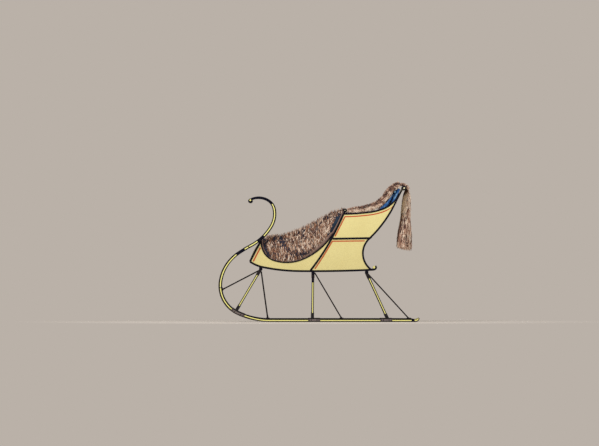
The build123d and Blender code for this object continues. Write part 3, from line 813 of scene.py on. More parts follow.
def boltHole(piece):
    # the hole for the shaft eye's bolt, across the bar
    mesh = bpy.data.meshes.new("cutter")
    reshape(mesh, lambda form: bmesh.ops.create_cone(
        form, segments=24, radius1=shaftEye["bore"], radius2=shaftEye["bore"], depth=0.2, cap_ends=True))
    for vertex in mesh.vertices:
        x, y, z = vertex.co
        vertex.co = Vector((x + shaftEye["x"], z + runnerBar["y"], shaftEye["z"] - y))
    cutter = newObject("cutter", mesh)
    cut = piece.modifiers.new("cut", "BOOLEAN")
    cut.operation = "DIFFERENCE"
    cut.solver = "EXACT"
    cut.object = cutter
    settle(piece)
    bpy.data.objects.remove(cutter)
    return piece


finishPair(joined("runner", [boltHole(makeRunner())] + makeKnob()), "runner", "runner_yellow", ["runner"])


# Steel shoe under each runner, curled up at the tail
def makeShoe():
    low, high = runnerBar["outside"], runnerBar["outside"] + shoe["thickness"]
    radius = shoe["curlRadius"] - (low + high) / 2
    stations = []
    for k in range(shoe["curlSteps"] + 1):
        turn = shoe["curlTurn"] * (1 - k / shoe["curlSteps"])
        x = shoe["flatTo"] + radius * math.sin(math.radians(turn))
        stations.append((x, high + radius * (1 - math.cos(math.radians(turn))), 180.0 + turn))
    stations += [walk(outlines["runner"], distance) for distance in marks(0.0, shoe["reach"], shoe["step"])]
    wide = runnerBar["halfWidth"]
    ring = evenRing([(low, wide), (high - 0.0016, wide), (high - 0.0004, wide - 0.0014),
                     (high, wide - 0.004)])
    return skinned("shoe", [section(station, runnerBar["y"], ring) for station in stations], [shoeSteel])


finishPair(makeShoe(), "runnerShoe", "shoe_steel", ["runner_shoe"])

# Wood behind the bar, in the curl of the shoe: rows of (length, turn), painted yellow from a distance on
tailWood = {
    "line": {"start": (0.923, 0.003), "heading": 0.0, "rows": [
        (0.022, 0.0), (0.017, 0.0), (0.0298, 45.0), (0.0199, 30.0)]},
    "depths": [(0.0, 0.026), (0.022, 0.020), (0.039, 0.018), (0.0688, 0.016), (0.0887, 0.009)],
    "low": 0.003, "yellowFrom": 0.030, "chamfer": 0.0015, "core": (0.26, 0.80), "step": 0.004,
}


def makeTailWood():
    distances = marks(0.0, lengthOf(tailWood["line"]), tailWood["step"], [tailWood["yellowFrom"]])
    low, wide, cut = tailWood["low"], runnerBar["halfWidth"], tailWood["chamfer"]
    rings = []
    for distance in distances:
        high = low + inTable(tailWood["depths"], distance)
        under, over = (between(low, high, share) for share in tailWood["core"])
        ring = evenRing([(low, wide), (under, wide), (over, wide), (high - cut, wide), (high, wide - cut)])
        rings.append(section(walk(tailWood["line"], distance), runnerBar["y"], ring))

    def pick(k, j):
        return 0 if j in (2, 8) and distances[k] >= tailWood["yellowFrom"] else 1
    return skinned("tailWood", rings, [runnerYellow, railBlack], pick=pick)


finishPair(makeTailWood(), "runnerTail", "runner_yellow", ["runner_tail"])
print("runners made")

# Black mouldings round the panels: columns are piece, node that it stands for, width by outline, base offset
moulding = {"proud": 0.006, "shoulder": 0.0015, "step": 0.014, "flatness": 0.45, "sunk": -0.012,
            "bare": -0.0015, "pillarBare": 0.43}
mouldingTable = [
    ("sillRail", "sill_rail", {"sill": 0.0195}, moulding["sunk"]),
    ("frontRail", "front_rail", {"dash": 0.0200, "entry": 0.0115}, moulding["sunk"]),
    ("pillarRail", "pillar_rail", {"pillar": 0.0185}, moulding["sunk"]),
    ("armRail", "arm_rail", {"arm": [(0.0, 0.0170), (0.44, 0.0170), (0.633, 0.0095)]}, moulding["sunk"]),
    ("backRail", "back_rail", {"back": [(0.0, 0.0185), (0.70, 0.0185), (0.951, 0.0125)]}, moulding["sunk"]),
    ("beltRail", "belt_rail", {"belt": 0.0190}, moulding["bare"]),
]
# Ring scrolls at the tops of the pillar and the back, and the sill's eye
scrollTable = {
    "pillarRail": {"place": (0.258, 1.113), "radius": 0.018, "band": 0.0128},
    "backRail": {"place": (0.847, 1.334), "radius": 0.022, "band": 0.0130},
}
scrollProud = 0.010
sillEye = {"place": (0.5508, 0.5415), "radius": 0.0126}


def roundTop(width, base, proud):
    # a moulding's section: rows of (shift to the left, offset outwards)
    ring = [(-width / 2, base)]
    for k in range(9):
        angle = math.pi * k / 8
        rise = math.sin(angle) ** moulding["flatness"] if 0 < k < 8 else 0.0
        ring.append((-width / 2 * math.cos(angle), between(moulding["shoulder"], proud, rise)))
    return ring + [(width / 2, base)]


def makeMoulding(key, width, base):
    # from the pillar's foot up to the belt its base lies on the panels
    line = outlines[key]
    rings = []
    for distance in marks(0.0, lengthOf(line), moulding["step"]):
        low = moulding["bare"] if key == "pillar" and distance < moulding["pillarBare"] else base
        wide = inTable(width, distance) if isinstance(width, list) else width
        station = walk(line, distance)
        rings.append([onBody(*beside(station, shift), offset)
                      for shift, offset in roundTop(wide, low, moulding["proud"])])
    return skinned(key, rings, [railBlack], 50.0)


def makeEye(place, radius, material):
    # a domed disc on the body's side
    x, z = place
    profile = ((1.0, moulding["sunk"]), (1.0, 0.0015), (0.9, 0.003), (0.55, 0.0042), (0.2, 0.0048))
    rings = [[onBody(x + reach * radius * cosine, z + reach * radius * sine, offset)
              for cosine, sine in circle(24)] for reach, offset in profile]
    return skinned("eye", rings, [material], 60.0)


def makeScroll(place, radius, band):
    # a round ring whose ends are welded, with a painted centre
    rings = []
    for cosine, sine in circle(32) + [(1.0, 0.0)]:
        ring = []
        for shift, offset in roundTop(band, moulding["sunk"], scrollProud):
            reach = radius - band / 2 + shift
            ring.append(onBody(place[0] + reach * cosine, place[1] + reach * sine, offset))
        rings.append(ring)

    def weld(form):
        bmesh.ops.remove_doubles(form, verts=form.verts, dist=0.00005)
        bmesh.ops.recalc_face_normals(form, faces=form.faces)
    piece = skinned("band", rings, [railBlack], 50.0, capped=False)
    reshape(piece.data, weld)
    return [piece, makeEye(place, radius - band * 0.8, scrollCream)]


for base, node, widths, low in mouldingTable:
    parts = [makeMoulding(key, width, low) for key, width in widths.items()]
    if base in scrollTable:
        parts += makeScroll(**scrollTable[base])
    if base == "sillRail":
        parts.append(makeEye(**sillEye, material=runnerYellow))
    finishPair(shaded(joined(base, parts), 50), base, "rail_black", [node])
print("mouldings made")

# Painted lines beside the mouldings: side view, metres
stripe = {"width": 0.0115, "frontWidth": 0.0140, "proud": 0.0005, "sunk": 0.0006, "beside": 0.028,
          "step": 0.02, "uneven": 0.06, "inset": 0.045, "sideSteps": 12}


def dense(points):
    result = []
    for first, last in zip(points, points[1:]):
        steps = max(1, round(math.dist(first, last) / stripe["step"]))
        result += [tuple(between(a, b, k / steps) for a, b in zip(first, last)) for k in range(steps)]
    return result + [points[-1]]


def stripeRibbon(points, widths):
    # a thin ribbon along the points with mitred corners, on the panels' outer face
    count = len(points)
    rings = []
    for k, (x, z) in enumerate(points):
        before = Vector(points[max(0, k - 1)])
        after = Vector(points[min(count - 1, k + 1)])
        here = Vector((x, z))
        first = (here - before).normalized() if k else (after - here).normalized()
        second = (after - here).normalized() if k < count - 1 else first
        bisector = (first + second).normalized()
        across = Vector((-bisector.y, bisector.x)) / max(0.4, bisector.dot(first))
        half = widths[k] / 2 * (1 + stripe["uneven"] * noise.noise(Vector((x * 60, z * 60, 0.0))))
        corners = ((-1, -stripe["sunk"]), (-1, stripe["proud"]), (1, stripe["proud"]), (1, -stripe["sunk"]))
        rings.append([onBody(x + across.x * side * half, z + across.y * side * half, offset)
                      for side, offset in corners])
    return skinned("stripe", rings, [stripeRed], 30.0)


def makeSideStripes():
    front = dense([(-0.656, 0.603), (-0.622, 0.670), (-0.584, 0.741)])
    lower = dense([(-0.042, 0.527), (0.045, 0.658), (0.133, 0.804), (0.455, 0.8075)])
    upper = dense([(0.160, 0.852), (0.258, 1.049)])
    upper += [beside(walk(outlines["arm"], distance), -stripe["beside"])
              for distance in marks(0.03, 0.535, stripe["step"])]
    upperWidths = [stripe["width"] * (1 - 0.65 * smooth((x - 0.65) / 0.09)) for x, z in upper]
    return joined("sideStripes", [stripeRibbon(front, [stripe["frontWidth"]] * len(front)),
                                  stripeRibbon(upper, upperWidths),
                                  stripeRibbon(lower, [stripe["width"]] * len(lower))])


def acrossStripe(key, first, last, shift):
    # a painted border on a panel that runs across the body
    line = outlines[key]
    face = math.copysign(stripe["proud"], shift)
    half = stripe["width"] / 2
    middle = (first + last) / 2
    corners = [(first, -1), (last, -1), (last, 1), (first, 1)]
    rings = []
    for (low, start), (high, end) in zip(corners, corners[1:] + corners[:1]):
        for k in range(stripe["sideSteps"]):
            distance = between(low, high, k / stripe["sideSteps"])
            side = between(start, end, k / stripe["sideSteps"])
            wide = sideY(*beside(walk(line, distance), shift), moulding["sunk"]) - stripe["inset"]
            spread = (abs(distance - middle) * 2 / (last - first)) ** 8 * (1 if distance > middle else -1)
            ring = []
            for grow, out in ((-half, -face), (-half, face), (half, face), (half, -face)):
                x, z = beside(walk(line, distance + grow * spread), shift + out)
                ring.append(Vector((x, side * wide + grow * side * (1 if abs(side) > 0.99 else 0), z)))
            rings.append(ring)
    return skinned("border", rings + rings[:1], [stripeRed], 30.0, capped=False)


finishPair(makeSideStripes(), "sideStripes", "stripe_red")
finish(joined("backStripes", [acrossStripe("back", 0.05, 0.30, -0.007),
                              acrossStripe("back", 0.40, 0.86, -0.007)]), "stripe_red")
finish(joined("dashStripes", [acrossStripe("dash", 0.035, 0.195, 0.007)]), "stripe_red")

# Panels keep their frame meshes and get their finish
sidePanels = [part + "_side_panel_" + side for part in ("front", "lower", "upper")
              for side in ("right", "left")]
for name in ["dash_panel", "lower_back_panel", "upper_back_panel"] + sidePanels:
    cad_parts[name].material_slots[0].material = bodyYellow
# Bars and boards are their nodes with the edges eased: node, piece, finish, width of the easing, slot
for node, name, material, width, slot in (
        ("dash_rail", "dashBar", railBlack, 0.0015, "iron_black"),
        ("back_top_rail", "backTopBar", railBlack, 0.0015, "rail_black"),
        ("back_belt_rail", "backBelt", railBlack, 0.003, "rail_black"),
        ("seat_riser", "seatRiser", boardWood, 0.0015, "floor_wood"),
        ("seat_board", "seatBoard", boardWood, 0.002, "floor_wood")):
    finish(eased(node, name, material, width), slot, [node])

# Floor of narrow boards laid across
floorBoards = {"count": 11, "gap": 0.0012, "low": -0.007, "high": 0.009, "chamfer": 0.0018, "first": 0.012,
               "last": 1.237, "inset": -0.0125}


def makeFloor():
    bottom, top, cut = (floorBoards[key] for key in ("low", "high", "chamfer"))
    boards = []
    for k in range(floorBoards["count"]):
        low, high = (between(floorBoards["first"], floorBoards["last"], end / floorBoards["count"])
                     for end in (k, k + 1))
        low += floorBoards["gap"]
        high -= floorBoards["gap"]
        middle = between(low, high, 0.5)
        outline = [(low + cut, bottom), (middle, bottom), (high - cut, bottom), (high, bottom + cut),
                   (high, top - cut), (high - cut, top), (middle, top), (low + cut, top), (low, top - cut),
                   (low, bottom + cut)]
        places = [beside(walk(outlines["sill"], distance), shift) for distance, shift in outline]
        rings = [[Vector((x, side * sideY(x, z, floorBoards["inset"]), z)) for x, z in places]
                 for side in (-1, -0.5, 0, 0.5, 1)]
        boards.append(skinned("board", rings, [boardWood], 20.0))
    return joined("floorBoards", boards)


finish(makeFloor(), "floor_wood", ["floor"])
print("body made")

# Running gear: beams, posts with their irons, stays and braces; bars run from head to foot, as (x, z)
postBars = {
    "front": ((-0.582, 0.525), (-0.826, 0.111)), "middle": ((-0.060, 0.500), (-0.066, 0.031)),
    "rear": ((0.476, 0.486), (0.686, 0.027)),
}
postShape = {"halfWidth": 0.013, "halfThickness": 0.011, "chamfer": 0.0028, "core": 0.0037,
             "beamLevel": 0.512, "outset": 0.008, "waist": 0.10, "steps": 7, "footGap": 0.003,
             "headGap": 0.002, "blackTop": {"front": 0.020, "middle": 0.083, "rear": 0.020}}


def barEnds(head, foot, inset=0.0):
    # foot on the runner, head beside the beam's end
    headY = sideY(head[0], postShape["beamLevel"]) + postShape["outset"] - inset
    return Vector((foot[0], runnerBar["y"], foot[1])), Vector((head[0], headY, head[1]))


def barAxes(foot, head):
    # along the bar, and the two directions square to it
    axis = (head - foot).normalized()
    side = Vector((0, 1, 0)).cross(axis).normalized()
    return axis, side, axis.cross(side)


def makePost(name):
    # clipped to the length that its node has
    foot, head = barEnds(*postBars[name])
    axis, side, depth = barAxes(foot, head)
    low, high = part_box("post_" + name + "_right")
    footShare = max(0.0, (low.z + postShape["footGap"] - foot.z) / (head.z - foot.z))
    headShare = min(1.0, (high.z - postShape["headGap"] - foot.z) / (head.z - foot.z))
    wide, thick, cut, core = (postShape[key] for key in ("halfWidth", "halfThickness", "chamfer", "core"))
    ring = evenRing([(-wide, thick - cut), (cut - wide, thick), (-core, thick), (core, thick),
                     (wide - cut, thick), (wide, thick - cut)])
    lined = 1 - postShape["blackTop"][name] / (head - foot).length
    rings = []
    for part in [lined * k / postShape["steps"] for k in range(postShape["steps"] + 1)] + [1.0]:
        slim = 1 - postShape["waist"] * math.sin(math.pi * part)
        centre = foot + (head - foot) * between(footShare, headShare, part)
        rings.append([centre + side * s * slim + depth * t for s, t in ring])
    return skinned("post", rings, [runnerYellow, railBlack], 25.0,
                   pick=lambda k, j: 0 if j in (3, 9) and k < postShape["steps"] else 1)


for name in postBars:
    finish(eased("beam_" + name, name + "Beam", railBlack, 0.003), "rail_black", ["beam_" + name])
for name in postBars:
    finishPair(makePost(name), name + "Post", "runner_yellow", ["post_" + name])

# Clips round the runner, and brownish grey strips along their outer cheeks
# worn gives the shifts across the runner between which the grey strips lie
clips = {"spans": [(0.193, 0.313), (0.911, 1.032), (1.673, 1.818)], "worn": (-0.0120, 0.0068), "slope": 0.001,
         "out": (0.0155, 0.0163), "inset": 0.002, "step": 0.012}


def makeClipGreyStrips():
    inner, outer = clips["out"]
    low, high = clips["worn"]
    ring = [(low, inner), (low + clips["slope"], outer), (high - clips["slope"], outer), (high, inner)]
    strips = []
    for first, last in clips["spans"]:
        distances = marks(first + clips["inset"], last - clips["inset"], clips["step"])
        rings = [section(walk(outlines["runner"], distance), runnerBar["y"], ring) for distance in distances]
        strips.append(skinned("strip", rings, [clipIron]))
    return joined("clipGreyStrips", strips)


postIrons = eased("post_irons_right", "postIrons", ironBlack, 0.0008)
finishPair(postIrons, "postIrons", "iron_black", ["post_irons"])
finishPair(makeClipGreyStrips(), "clipGreyStrips", "iron_black")
eyePlate = eased("shaft_eye_right", "shaftEye", ironBlack, 0.0015)
finishPair(eyePlate, "shaftEye", "iron_black", ["shaft_eye"])
finish(eased("cross_braces", "crossBraces", ironBlack, 0.0004), "iron_black", ["cross_braces"])

# Stay rods, each on a small plate on the runner
stayRods = {
    "radius": 0.0060, "inset": 0.026, "grip": 0.5, "gripLength": 0.03, "plateLength": 0.040,
    "plateHalfWidth": 0.008, "plateThickness": 0.0035, "firstPlate": 0.021,
    "rods": [((-0.581, 0.521), (-0.965, 0.321)), ((-0.577, 0.499), (-0.513, 0.034)),
             ((-0.042, 0.487), (0.227, 0.031)), ((0.485, 0.482), (0.902, 0.027))],
}


def nearestOn(x, z):
    # the distance along the runner's lower part at which it passes nearest
    steps = [k * 0.004 for k in range(575)]
    return min(steps, key=lambda distance: math.dist(walk(outlines["runner"], distance)[:2], (x, z)))


stayPlates = [max(stayRods["firstPlate"], nearestOn(*foot)) for head, foot in stayRods["rods"]]


def makeStays():
    inside, wide = runnerBar["inside"], stayRods["plateHalfWidth"]
    high = inside - stayRods["plateThickness"]
    parts = []
    for (head, foot), plate in zip(stayRods["rods"], stayPlates):
        foot, head = barEnds(head, foot, stayRods["inset"])
        axis, side, depth = barAxes(foot, head)
        rings = []
        for distance in [0.0, 0.010, 0.020, 0.034] + marks(0.08, (head - foot).length, 0.09):
            grip = 1 + stayRods["grip"] * (1 - smooth(distance / stayRods["gripLength"]))
            centre = foot + axis * distance
            rings.append([centre + (side * cosine + depth * sine) * stayRods["radius"] * grip
                          for cosine, sine in circle(12)])
        parts.append(skinned("rod", rings, [stayIron], 50.0))
        rings = []
        for share in (-1.0, -0.9, -0.6, -0.2, 0.2, 0.6, 0.9, 1.0):
            half = wide if abs(share) < 0.95 else wide * 0.6
            ring = evenRing([(inside + 0.001, half), (high + 0.0008, half), (high, half - 0.001)])
            station = walk(outlines["runner"], plate + stayRods["plateLength"] / 2 * share)
            rings.append(section(station, runnerBar["y"], ring))
        parts.append(skinned("plate", rings, [ironBlack], 40.0))
    return joined("stayRods", parts)


finishPair(makeStays(), "stayRods", "iron_black", ["stay_rods"])

# Bolt heads on the irons, at the dash bar, under the beams and along the shoes
bolts = {"clip": 0.0042, "head": 0.0040, "dash": 0.0055, "plate": 0.0032, "shoe": 0.0032, "clipOut": 0.0164,
         "clipShift": -0.003, "clipShares": (0.1, 0.27, 0.73, 0.9), "headOut": 0.0142, "fromEnd": 0.036,
         "plateShift": 0.014, "dashY": 0.4545, "rivets": 13, "rivetFirst": 0.03, "rivetStep": 0.19,
         "rivetSunk": 0.0012}
outwards = Vector((0, 1, 0))


def onRunner(distance, shift, out, radius, facing=0):
    # a bolt beside the runner's line, aimed outwards, or with facing 1 or -1 to the line's left or right
    station = walk(outlines["runner"], distance)
    turn = math.radians(station[2])
    aim = Vector((-math.sin(turn), 0, math.cos(turn))) * facing if facing else outwards
    return section(station, runnerBar["y"], [(shift, out)])[0], aim, radius


def gearBolts():
    places = [onRunner(between(low, high, share), bolts["clipShift"], bolts["clipOut"], bolts["clip"])
              for low, high in clips["spans"] for share in bolts["clipShares"]]
    for name in postBars:
        foot, head = barEnds(*postBars[name])
        length = (head - foot).length
        for distance in (bolts["fromEnd"], length - bolts["fromEnd"]):
            centre = foot + (head - foot) * (distance / length)
            places.append((centre + outwards * bolts["headOut"], outwards, bolts["head"]))
    plateFace = runnerBar["inside"] - stayRods["plateThickness"]
    places += [onRunner(plate + shift, plateFace, 0.0, bolts["plate"], -1)
               for plate in stayPlates for shift in (-bolts["plateShift"], bolts["plateShift"])]
    places += [(Vector((x, bolts["dashY"], z)), outwards, radius)
               for x, z, radius in ((-0.588, 0.815, bolts["dash"]), (-0.702, 0.748, bolts["clip"]))]
    return places


rivetShift = runnerBar["outside"] + shoe["thickness"] - bolts["rivetSunk"]
rivets = [onRunner(bolts["rivetFirst"] + k * bolts["rivetStep"], rivetShift, 0.0, bolts["shoe"], 1)
          for k in range(bolts["rivets"])]
heads("gearBolts", bothSides(gearBolts()), ironBlack, "iron_black")
heads("shoeRivets", bothSides(rivets), shoeSteel, "shoe_steel", 0.3, 1.05)
print("running gear made")

# Rolled cloth lining along the inside of the entry: widths evenly spaced along each outline
liningRoll = {"thickness": 0.008, "start": 0.004, "step": 0.02,
              "entry": [0.018, 0.018, 0.016, 0.015, 0.015, 0.021, 0.034, 0.034, 0.028],
              "pillar": [0.026, 0.020, 0.018]}


def makeLining():
    parts = []
    for key, first in (("entry", 0.0), ("pillar", moulding["pillarBare"])):
        last = lengthOf(outlines[key])
        rings = []
        for distance in marks(first, last, liningRoll["step"]):
            wide = evenly(liningRoll[key], (distance - first) / (last - first))
            station = walk(outlines[key], distance)
            ring = []
            for cosine, sine in circle(10):
                shift = between(liningRoll["start"], wide, 0.5 + 0.5 * cosine)
                offset = moulding["sunk"] - liningRoll["thickness"] * (0.5 - 0.5 * sine)
                ring.append(onBody(*beside(station, shift), offset))
            rings.append(ring)
        parts.append(skinned("roll", rings, [liningBrown], 60.0))
    return joined("entryLining", parts)


finishPair(makeLining(), "entryLining", "lining_brown", ["entry_lining"])

# Cushions and squabs: each starts from its node, is drawn in at its buttons and blown up as cloth
padding = {"pressure": 4.0, "tension": 25.0, "bending": 0.8, "frames": 20, "cap": 0.02, "dip": 0.024,
           "dipShare": 0.8, "around": 0.045, "held": 0.011, "buttonRadius": 0.0085, "buttonProud": 0.001}
padPieces = {
    "seat_cushion": {"piece": "seatCushion", "face": (0, 0, 1), "fill": 0.7, "voxel": 0.011, "shrink": 0.009,
                     "buttons": [(x, y, 0.935) for x in (0.20, 0.33, 0.46)
                                 for y in (-0.32, -0.16, 0.0, 0.16, 0.32)]},
    "back_squab": {"piece": "backSquab", "face": (-0.9, 0, 0.3), "fill": 0.6, "voxel": 0.011, "shrink": 0.009,
                   "buttons": [(x, y, z) for x, z in ((0.566, 1.02), (0.625, 1.13), (0.69, 1.24))
                               for y in (-0.36, -0.18, 0.0, 0.18, 0.36)]},
    "arm_squab_right": {"piece": "armSquab", "face": (0, -1, 0), "fill": 0.6, "voxel": 0.007, "shrink": 0.003,
                        "buttons": [onBody(x, z, -0.038) for x, z in (
                            (0.30, 1.01), (0.42, 1.02), (0.54, 1.05), (0.645, 1.135), (0.715, 1.22),
                            (0.765, 1.30))]},
}


def blownUp(piece):
    # where a short cloth simulation under pressure takes the vertices that aren't held
    cloth = piece.modifiers.new("cloth", "CLOTH")
    cloth.settings.vertex_group_mass = "held"
    cloth.settings.use_pressure = True
    cloth.settings.uniform_pressure_force = padding["pressure"]
    cloth.settings.effector_weights.gravity = 0.0
    cloth.settings.tension_stiffness = padding["tension"]
    cloth.settings.bending_stiffness = padding["bending"]
    cloth.point_cache.frame_end = padding["frames"]
    for number in range(1, padding["frames"] + 1):
        bpy.context.scene.frame_set(number)
    seen = piece.evaluated_get(bpy.context.evaluated_depsgraph_get()).data
    moved = [vertex.co.copy() for vertex in seen.vertices]
    piece.modifiers.clear()
    bpy.context.scene.frame_set(1)
    return moved


def makePad(node, pad):
    piece = mergedCopy(node, pad["piece"])
    remesh = piece.modifiers.new("voxels", "REMESH")
    remesh.mode = "VOXEL"
    remesh.voxel_size = pad["voxel"]
    mesh = settle(piece).data
    face = Vector(pad["face"]).normalized()
    held = piece.vertex_groups.new(name="held")
    starts = []
    for vertex in mesh.vertices:
        point = vertex.co - vertex.normal * pad["shrink"]
        near = min((vertex.co - Vector(button)).length for button in pad["buttons"])
        if vertex.normal.dot(face) > 0.3:
            draw = max(0.0, 1 - near / padding["around"]) ** 2
            point -= face * padding["dip"] * draw * padding["dipShare"]
        if near < padding["held"] or vertex.normal.dot(face) < -0.6:
            held.add([vertex.index], 1.0, "REPLACE")
        starts.append(point)
    for vertex, start in zip(mesh.vertices, starts):
        vertex.co = start
    moved = blownUp(piece)
    for vertex, start, end in zip(mesh.vertices, starts, moved):
        step = end - start
        vertex.co = start + step * min(1.0, padding["cap"] / max(step.length, 1e-9))
    piece.vertex_groups.clear()
    for _ in range(2):
        reshape(mesh, lambda form: bmesh.ops.smooth_vert(
            form, verts=form.verts, factor=0.5, use_axis_x=True, use_axis_y=True, use_axis_z=True))
    mesh.materials.clear()
    mesh.materials.append(clothBlue)
    mesh.shade_smooth()
    return piece


def buttonPlaces(piece, pad):
    # each button sits on the nearest vertex that faces its way
    face = Vector(pad["face"]).normalized()
    places = []
    for button in pad["buttons"]:
        nearest = min(piece.data.vertices, key=lambda vertex: (vertex.co - Vector(button)).length
                      + (0.1 if vertex.normal.dot(face) < 0.2 else 0.0))
        places.append((nearest.co + face * padding["buttonProud"], face, padding["buttonRadius"]))
    return places


buttons = []
for node, pad in padPieces.items():
    piece = makePad(node, pad)
    places = buttonPlaces(piece, pad)
    if node.endswith("_right"):
        for half in finishPair(piece, pad["piece"], "upholstery_blue", [node.replace("_right", "")]):
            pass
        buttons += bothSides(places)
    else:
        finish(piece, "upholstery_blue", [node])
        buttons += places
heads("clothButtons", buttons, clothBlue, "upholstery_blue", 0.5, 0.6)
print("upholstery made")


# Fur robes: hides of cloth-backed skin, and locks of hair grown on them
def makeHide(name, grid, facts, lining, skin=robeHide):
    # grid is rows of points, facts gives each point's values in the order of hairFacts
    verts, faces, spots = ringMesh(grid, closedRing=False, capped=False)
    flat = [fact for row in facts for fact in row]
    bare = [0 if sum(flat[v][1] for v in face) / 4 > 0.15 else 1 for face in faces]  # these get the lining
    return newPiece(name, verts, faces, [skin, lining, lining], bare, 180.0, closed=False), flat


def growHair(hide, facts, name, hair):
    # hair names the hair tree's inputs, and the number of locks that its density comes from
    source = newObject(name, hide.data.copy())
    for place, title in enumerate(hairFacts):
        store(source.data, title, [fact[place] for fact in facts])
    area = sum(face.area * sum(facts[v][1] for v in face.vertices) / 4 for face in source.data.polygons)
    given = {title.capitalize(): value for title, value in hair.items() if title != "locks"}
    grown(source, hairTree, Density=hair["locks"] / area, **given)
    finish(source, "robe_fur")
    print(name, "triangles", 2 * len(source.data.polygons))
    return source


def backHide(hide, thickness):
    # the hide's own thickness, with its lining inside
    wall = hide.modifiers.new("wall", "SOLIDIFY")
    wall.thickness = thickness
    wall.offset = -1.0
    wall.material_offset = 1
    wall.material_offset_rim = 1
    settle(hide).data.shade_smooth()


def waved(x, y, z, size, seed):
    return noise.noise(Vector((x * size, y * size, z * size + seed)))


# Robe over the entry: its sides hang inside the openings, its top sags between them
lapRobe = {
    "past": 0.022, "front": -0.010, "rows": 66, "below": 0.024, "sag": 0.066, "halfChord": 0.47,
    "edge": 0.030, "tuck": 0.020, "sideOffset": -0.046, "bulge": 0.024, "thickness": 0.005,
    "flat": (1.30, 1.05), "lastSide": 17, "lastHem": 15, "raised": range(11, 20), "guarded": range(12, 19),
    "side": 12, "round": 4, "top": 13, "pale": 0.20, "hemBand": 0.062, "entryBand": 0.03, "wavy": 0.007,
    "seam": [(-0.384, 0.842), (-0.353, 0.792), (-0.305, 0.731), (-0.268, 0.685)],
    # seam, middle and dark are lines in side view: the hair is darkened along the seam and the dark lines,
    # painted shade, and made paler along the middle, a painted highlight
    "middle": [(-0.28, 0.78), (-0.02, 0.86), (0.12, 0.98)],
    "dark": [([(-0.546, 0.815), (-0.538, 0.768), (-0.524, 0.722), (-0.498, 0.684)], 0.017),
             ([(-0.245, 0.706), (-0.190, 0.708), (-0.130, 0.716), (-0.100, 0.724)], 0.018),
             ([(-0.398, 0.856), (-0.372, 0.815)], 0.024)],
    "hair": {"locks": 34000, "length": 0.044, "width": 0.0074, "stray": 0.28, "curl": 0.25,
             "clumps": (122.0, 50.0, 33.0), "seed": 3, "finish": robeHair},
    "under": {"locks": 26000, "length": 0.034, "width": 0.0064, "seed": 11},
    "guard": {"locks": 3200, "length": 0.050, "width": 0.0085, "stray": 0.42, "curl": 0.15,
              "clumps": (80.0, 60.0, 30.0), "seed": 41, "finish": robeHair},
}
entryLength = lengthOf(outlines["entry"])
pillarLength = lengthOf(outlines["pillar"])
entryLine = [walk(outlines["entry"], entryLength * k / 24)[:2] for k in range(25)]
pillarLine = [walk(outlines["pillar"], between(0.40, pillarLength, k / 12))[:2] for k in range(13)]


def lapFloor(x):
    # the lower edge of the opening at x: the entry, then the pillar
    startX, startZ = outlines["entry"]["start"]
    if x < startX - 0.001:
        return startZ - 0.02
    if x < walk(outlines["entry"], entryLength)[0]:
        return heightOn(outlines["entry"], max(x, startX + 0.0005))
    return heightOn(outlines["pillar"], x)


def lapSection(station):
    # right half of one cross section, from the tucked lower edge up, over the edge and in to the middle
    x, z = beside(station, -lapRobe["below"])
    edge, offset = lapRobe["edge"], lapRobe["sideOffset"]
    ahead = math.radians(station[2])
    out = Vector((math.sin(ahead), 0, -math.cos(ahead)))  # downwards, square to the robe's slope
    low = min(lapFloor(x) - lapRobe["tuck"], z - 0.02)
    top = z - edge
    points = []
    for k in range(lapRobe["side"] + 1):
        share = k / lapRobe["side"]
        crown = math.sin(math.pi * min(1.0, share * 1.02)) ** 0.7
        bulge = lapRobe["bulge"] * crown * smooth((top - low) / 0.12)
        points.append(onBody(x, between(low, top, share), offset + bulge))
    edgeY = sideY(x, top, offset)
    for k in range(1, lapRobe["round"] + 1):
        angle = math.pi / 2 * k / (lapRobe["round"] + 1)
        points.append(Vector((x, edgeY - edge * (1 - math.cos(angle)), top + edge * math.sin(angle))))
    for k in range(lapRobe["top"] + 1):
        y = between(edgeY - edge, 0.0, k / lapRobe["top"])
        drop = lapRobe["sag"] * (1 - (y / lapRobe["halfChord"]) ** 2) - 0.010
        points.append(Vector((x, y, z)) + out * max(0.0, drop) * smooth(k / 3.0))
    return points


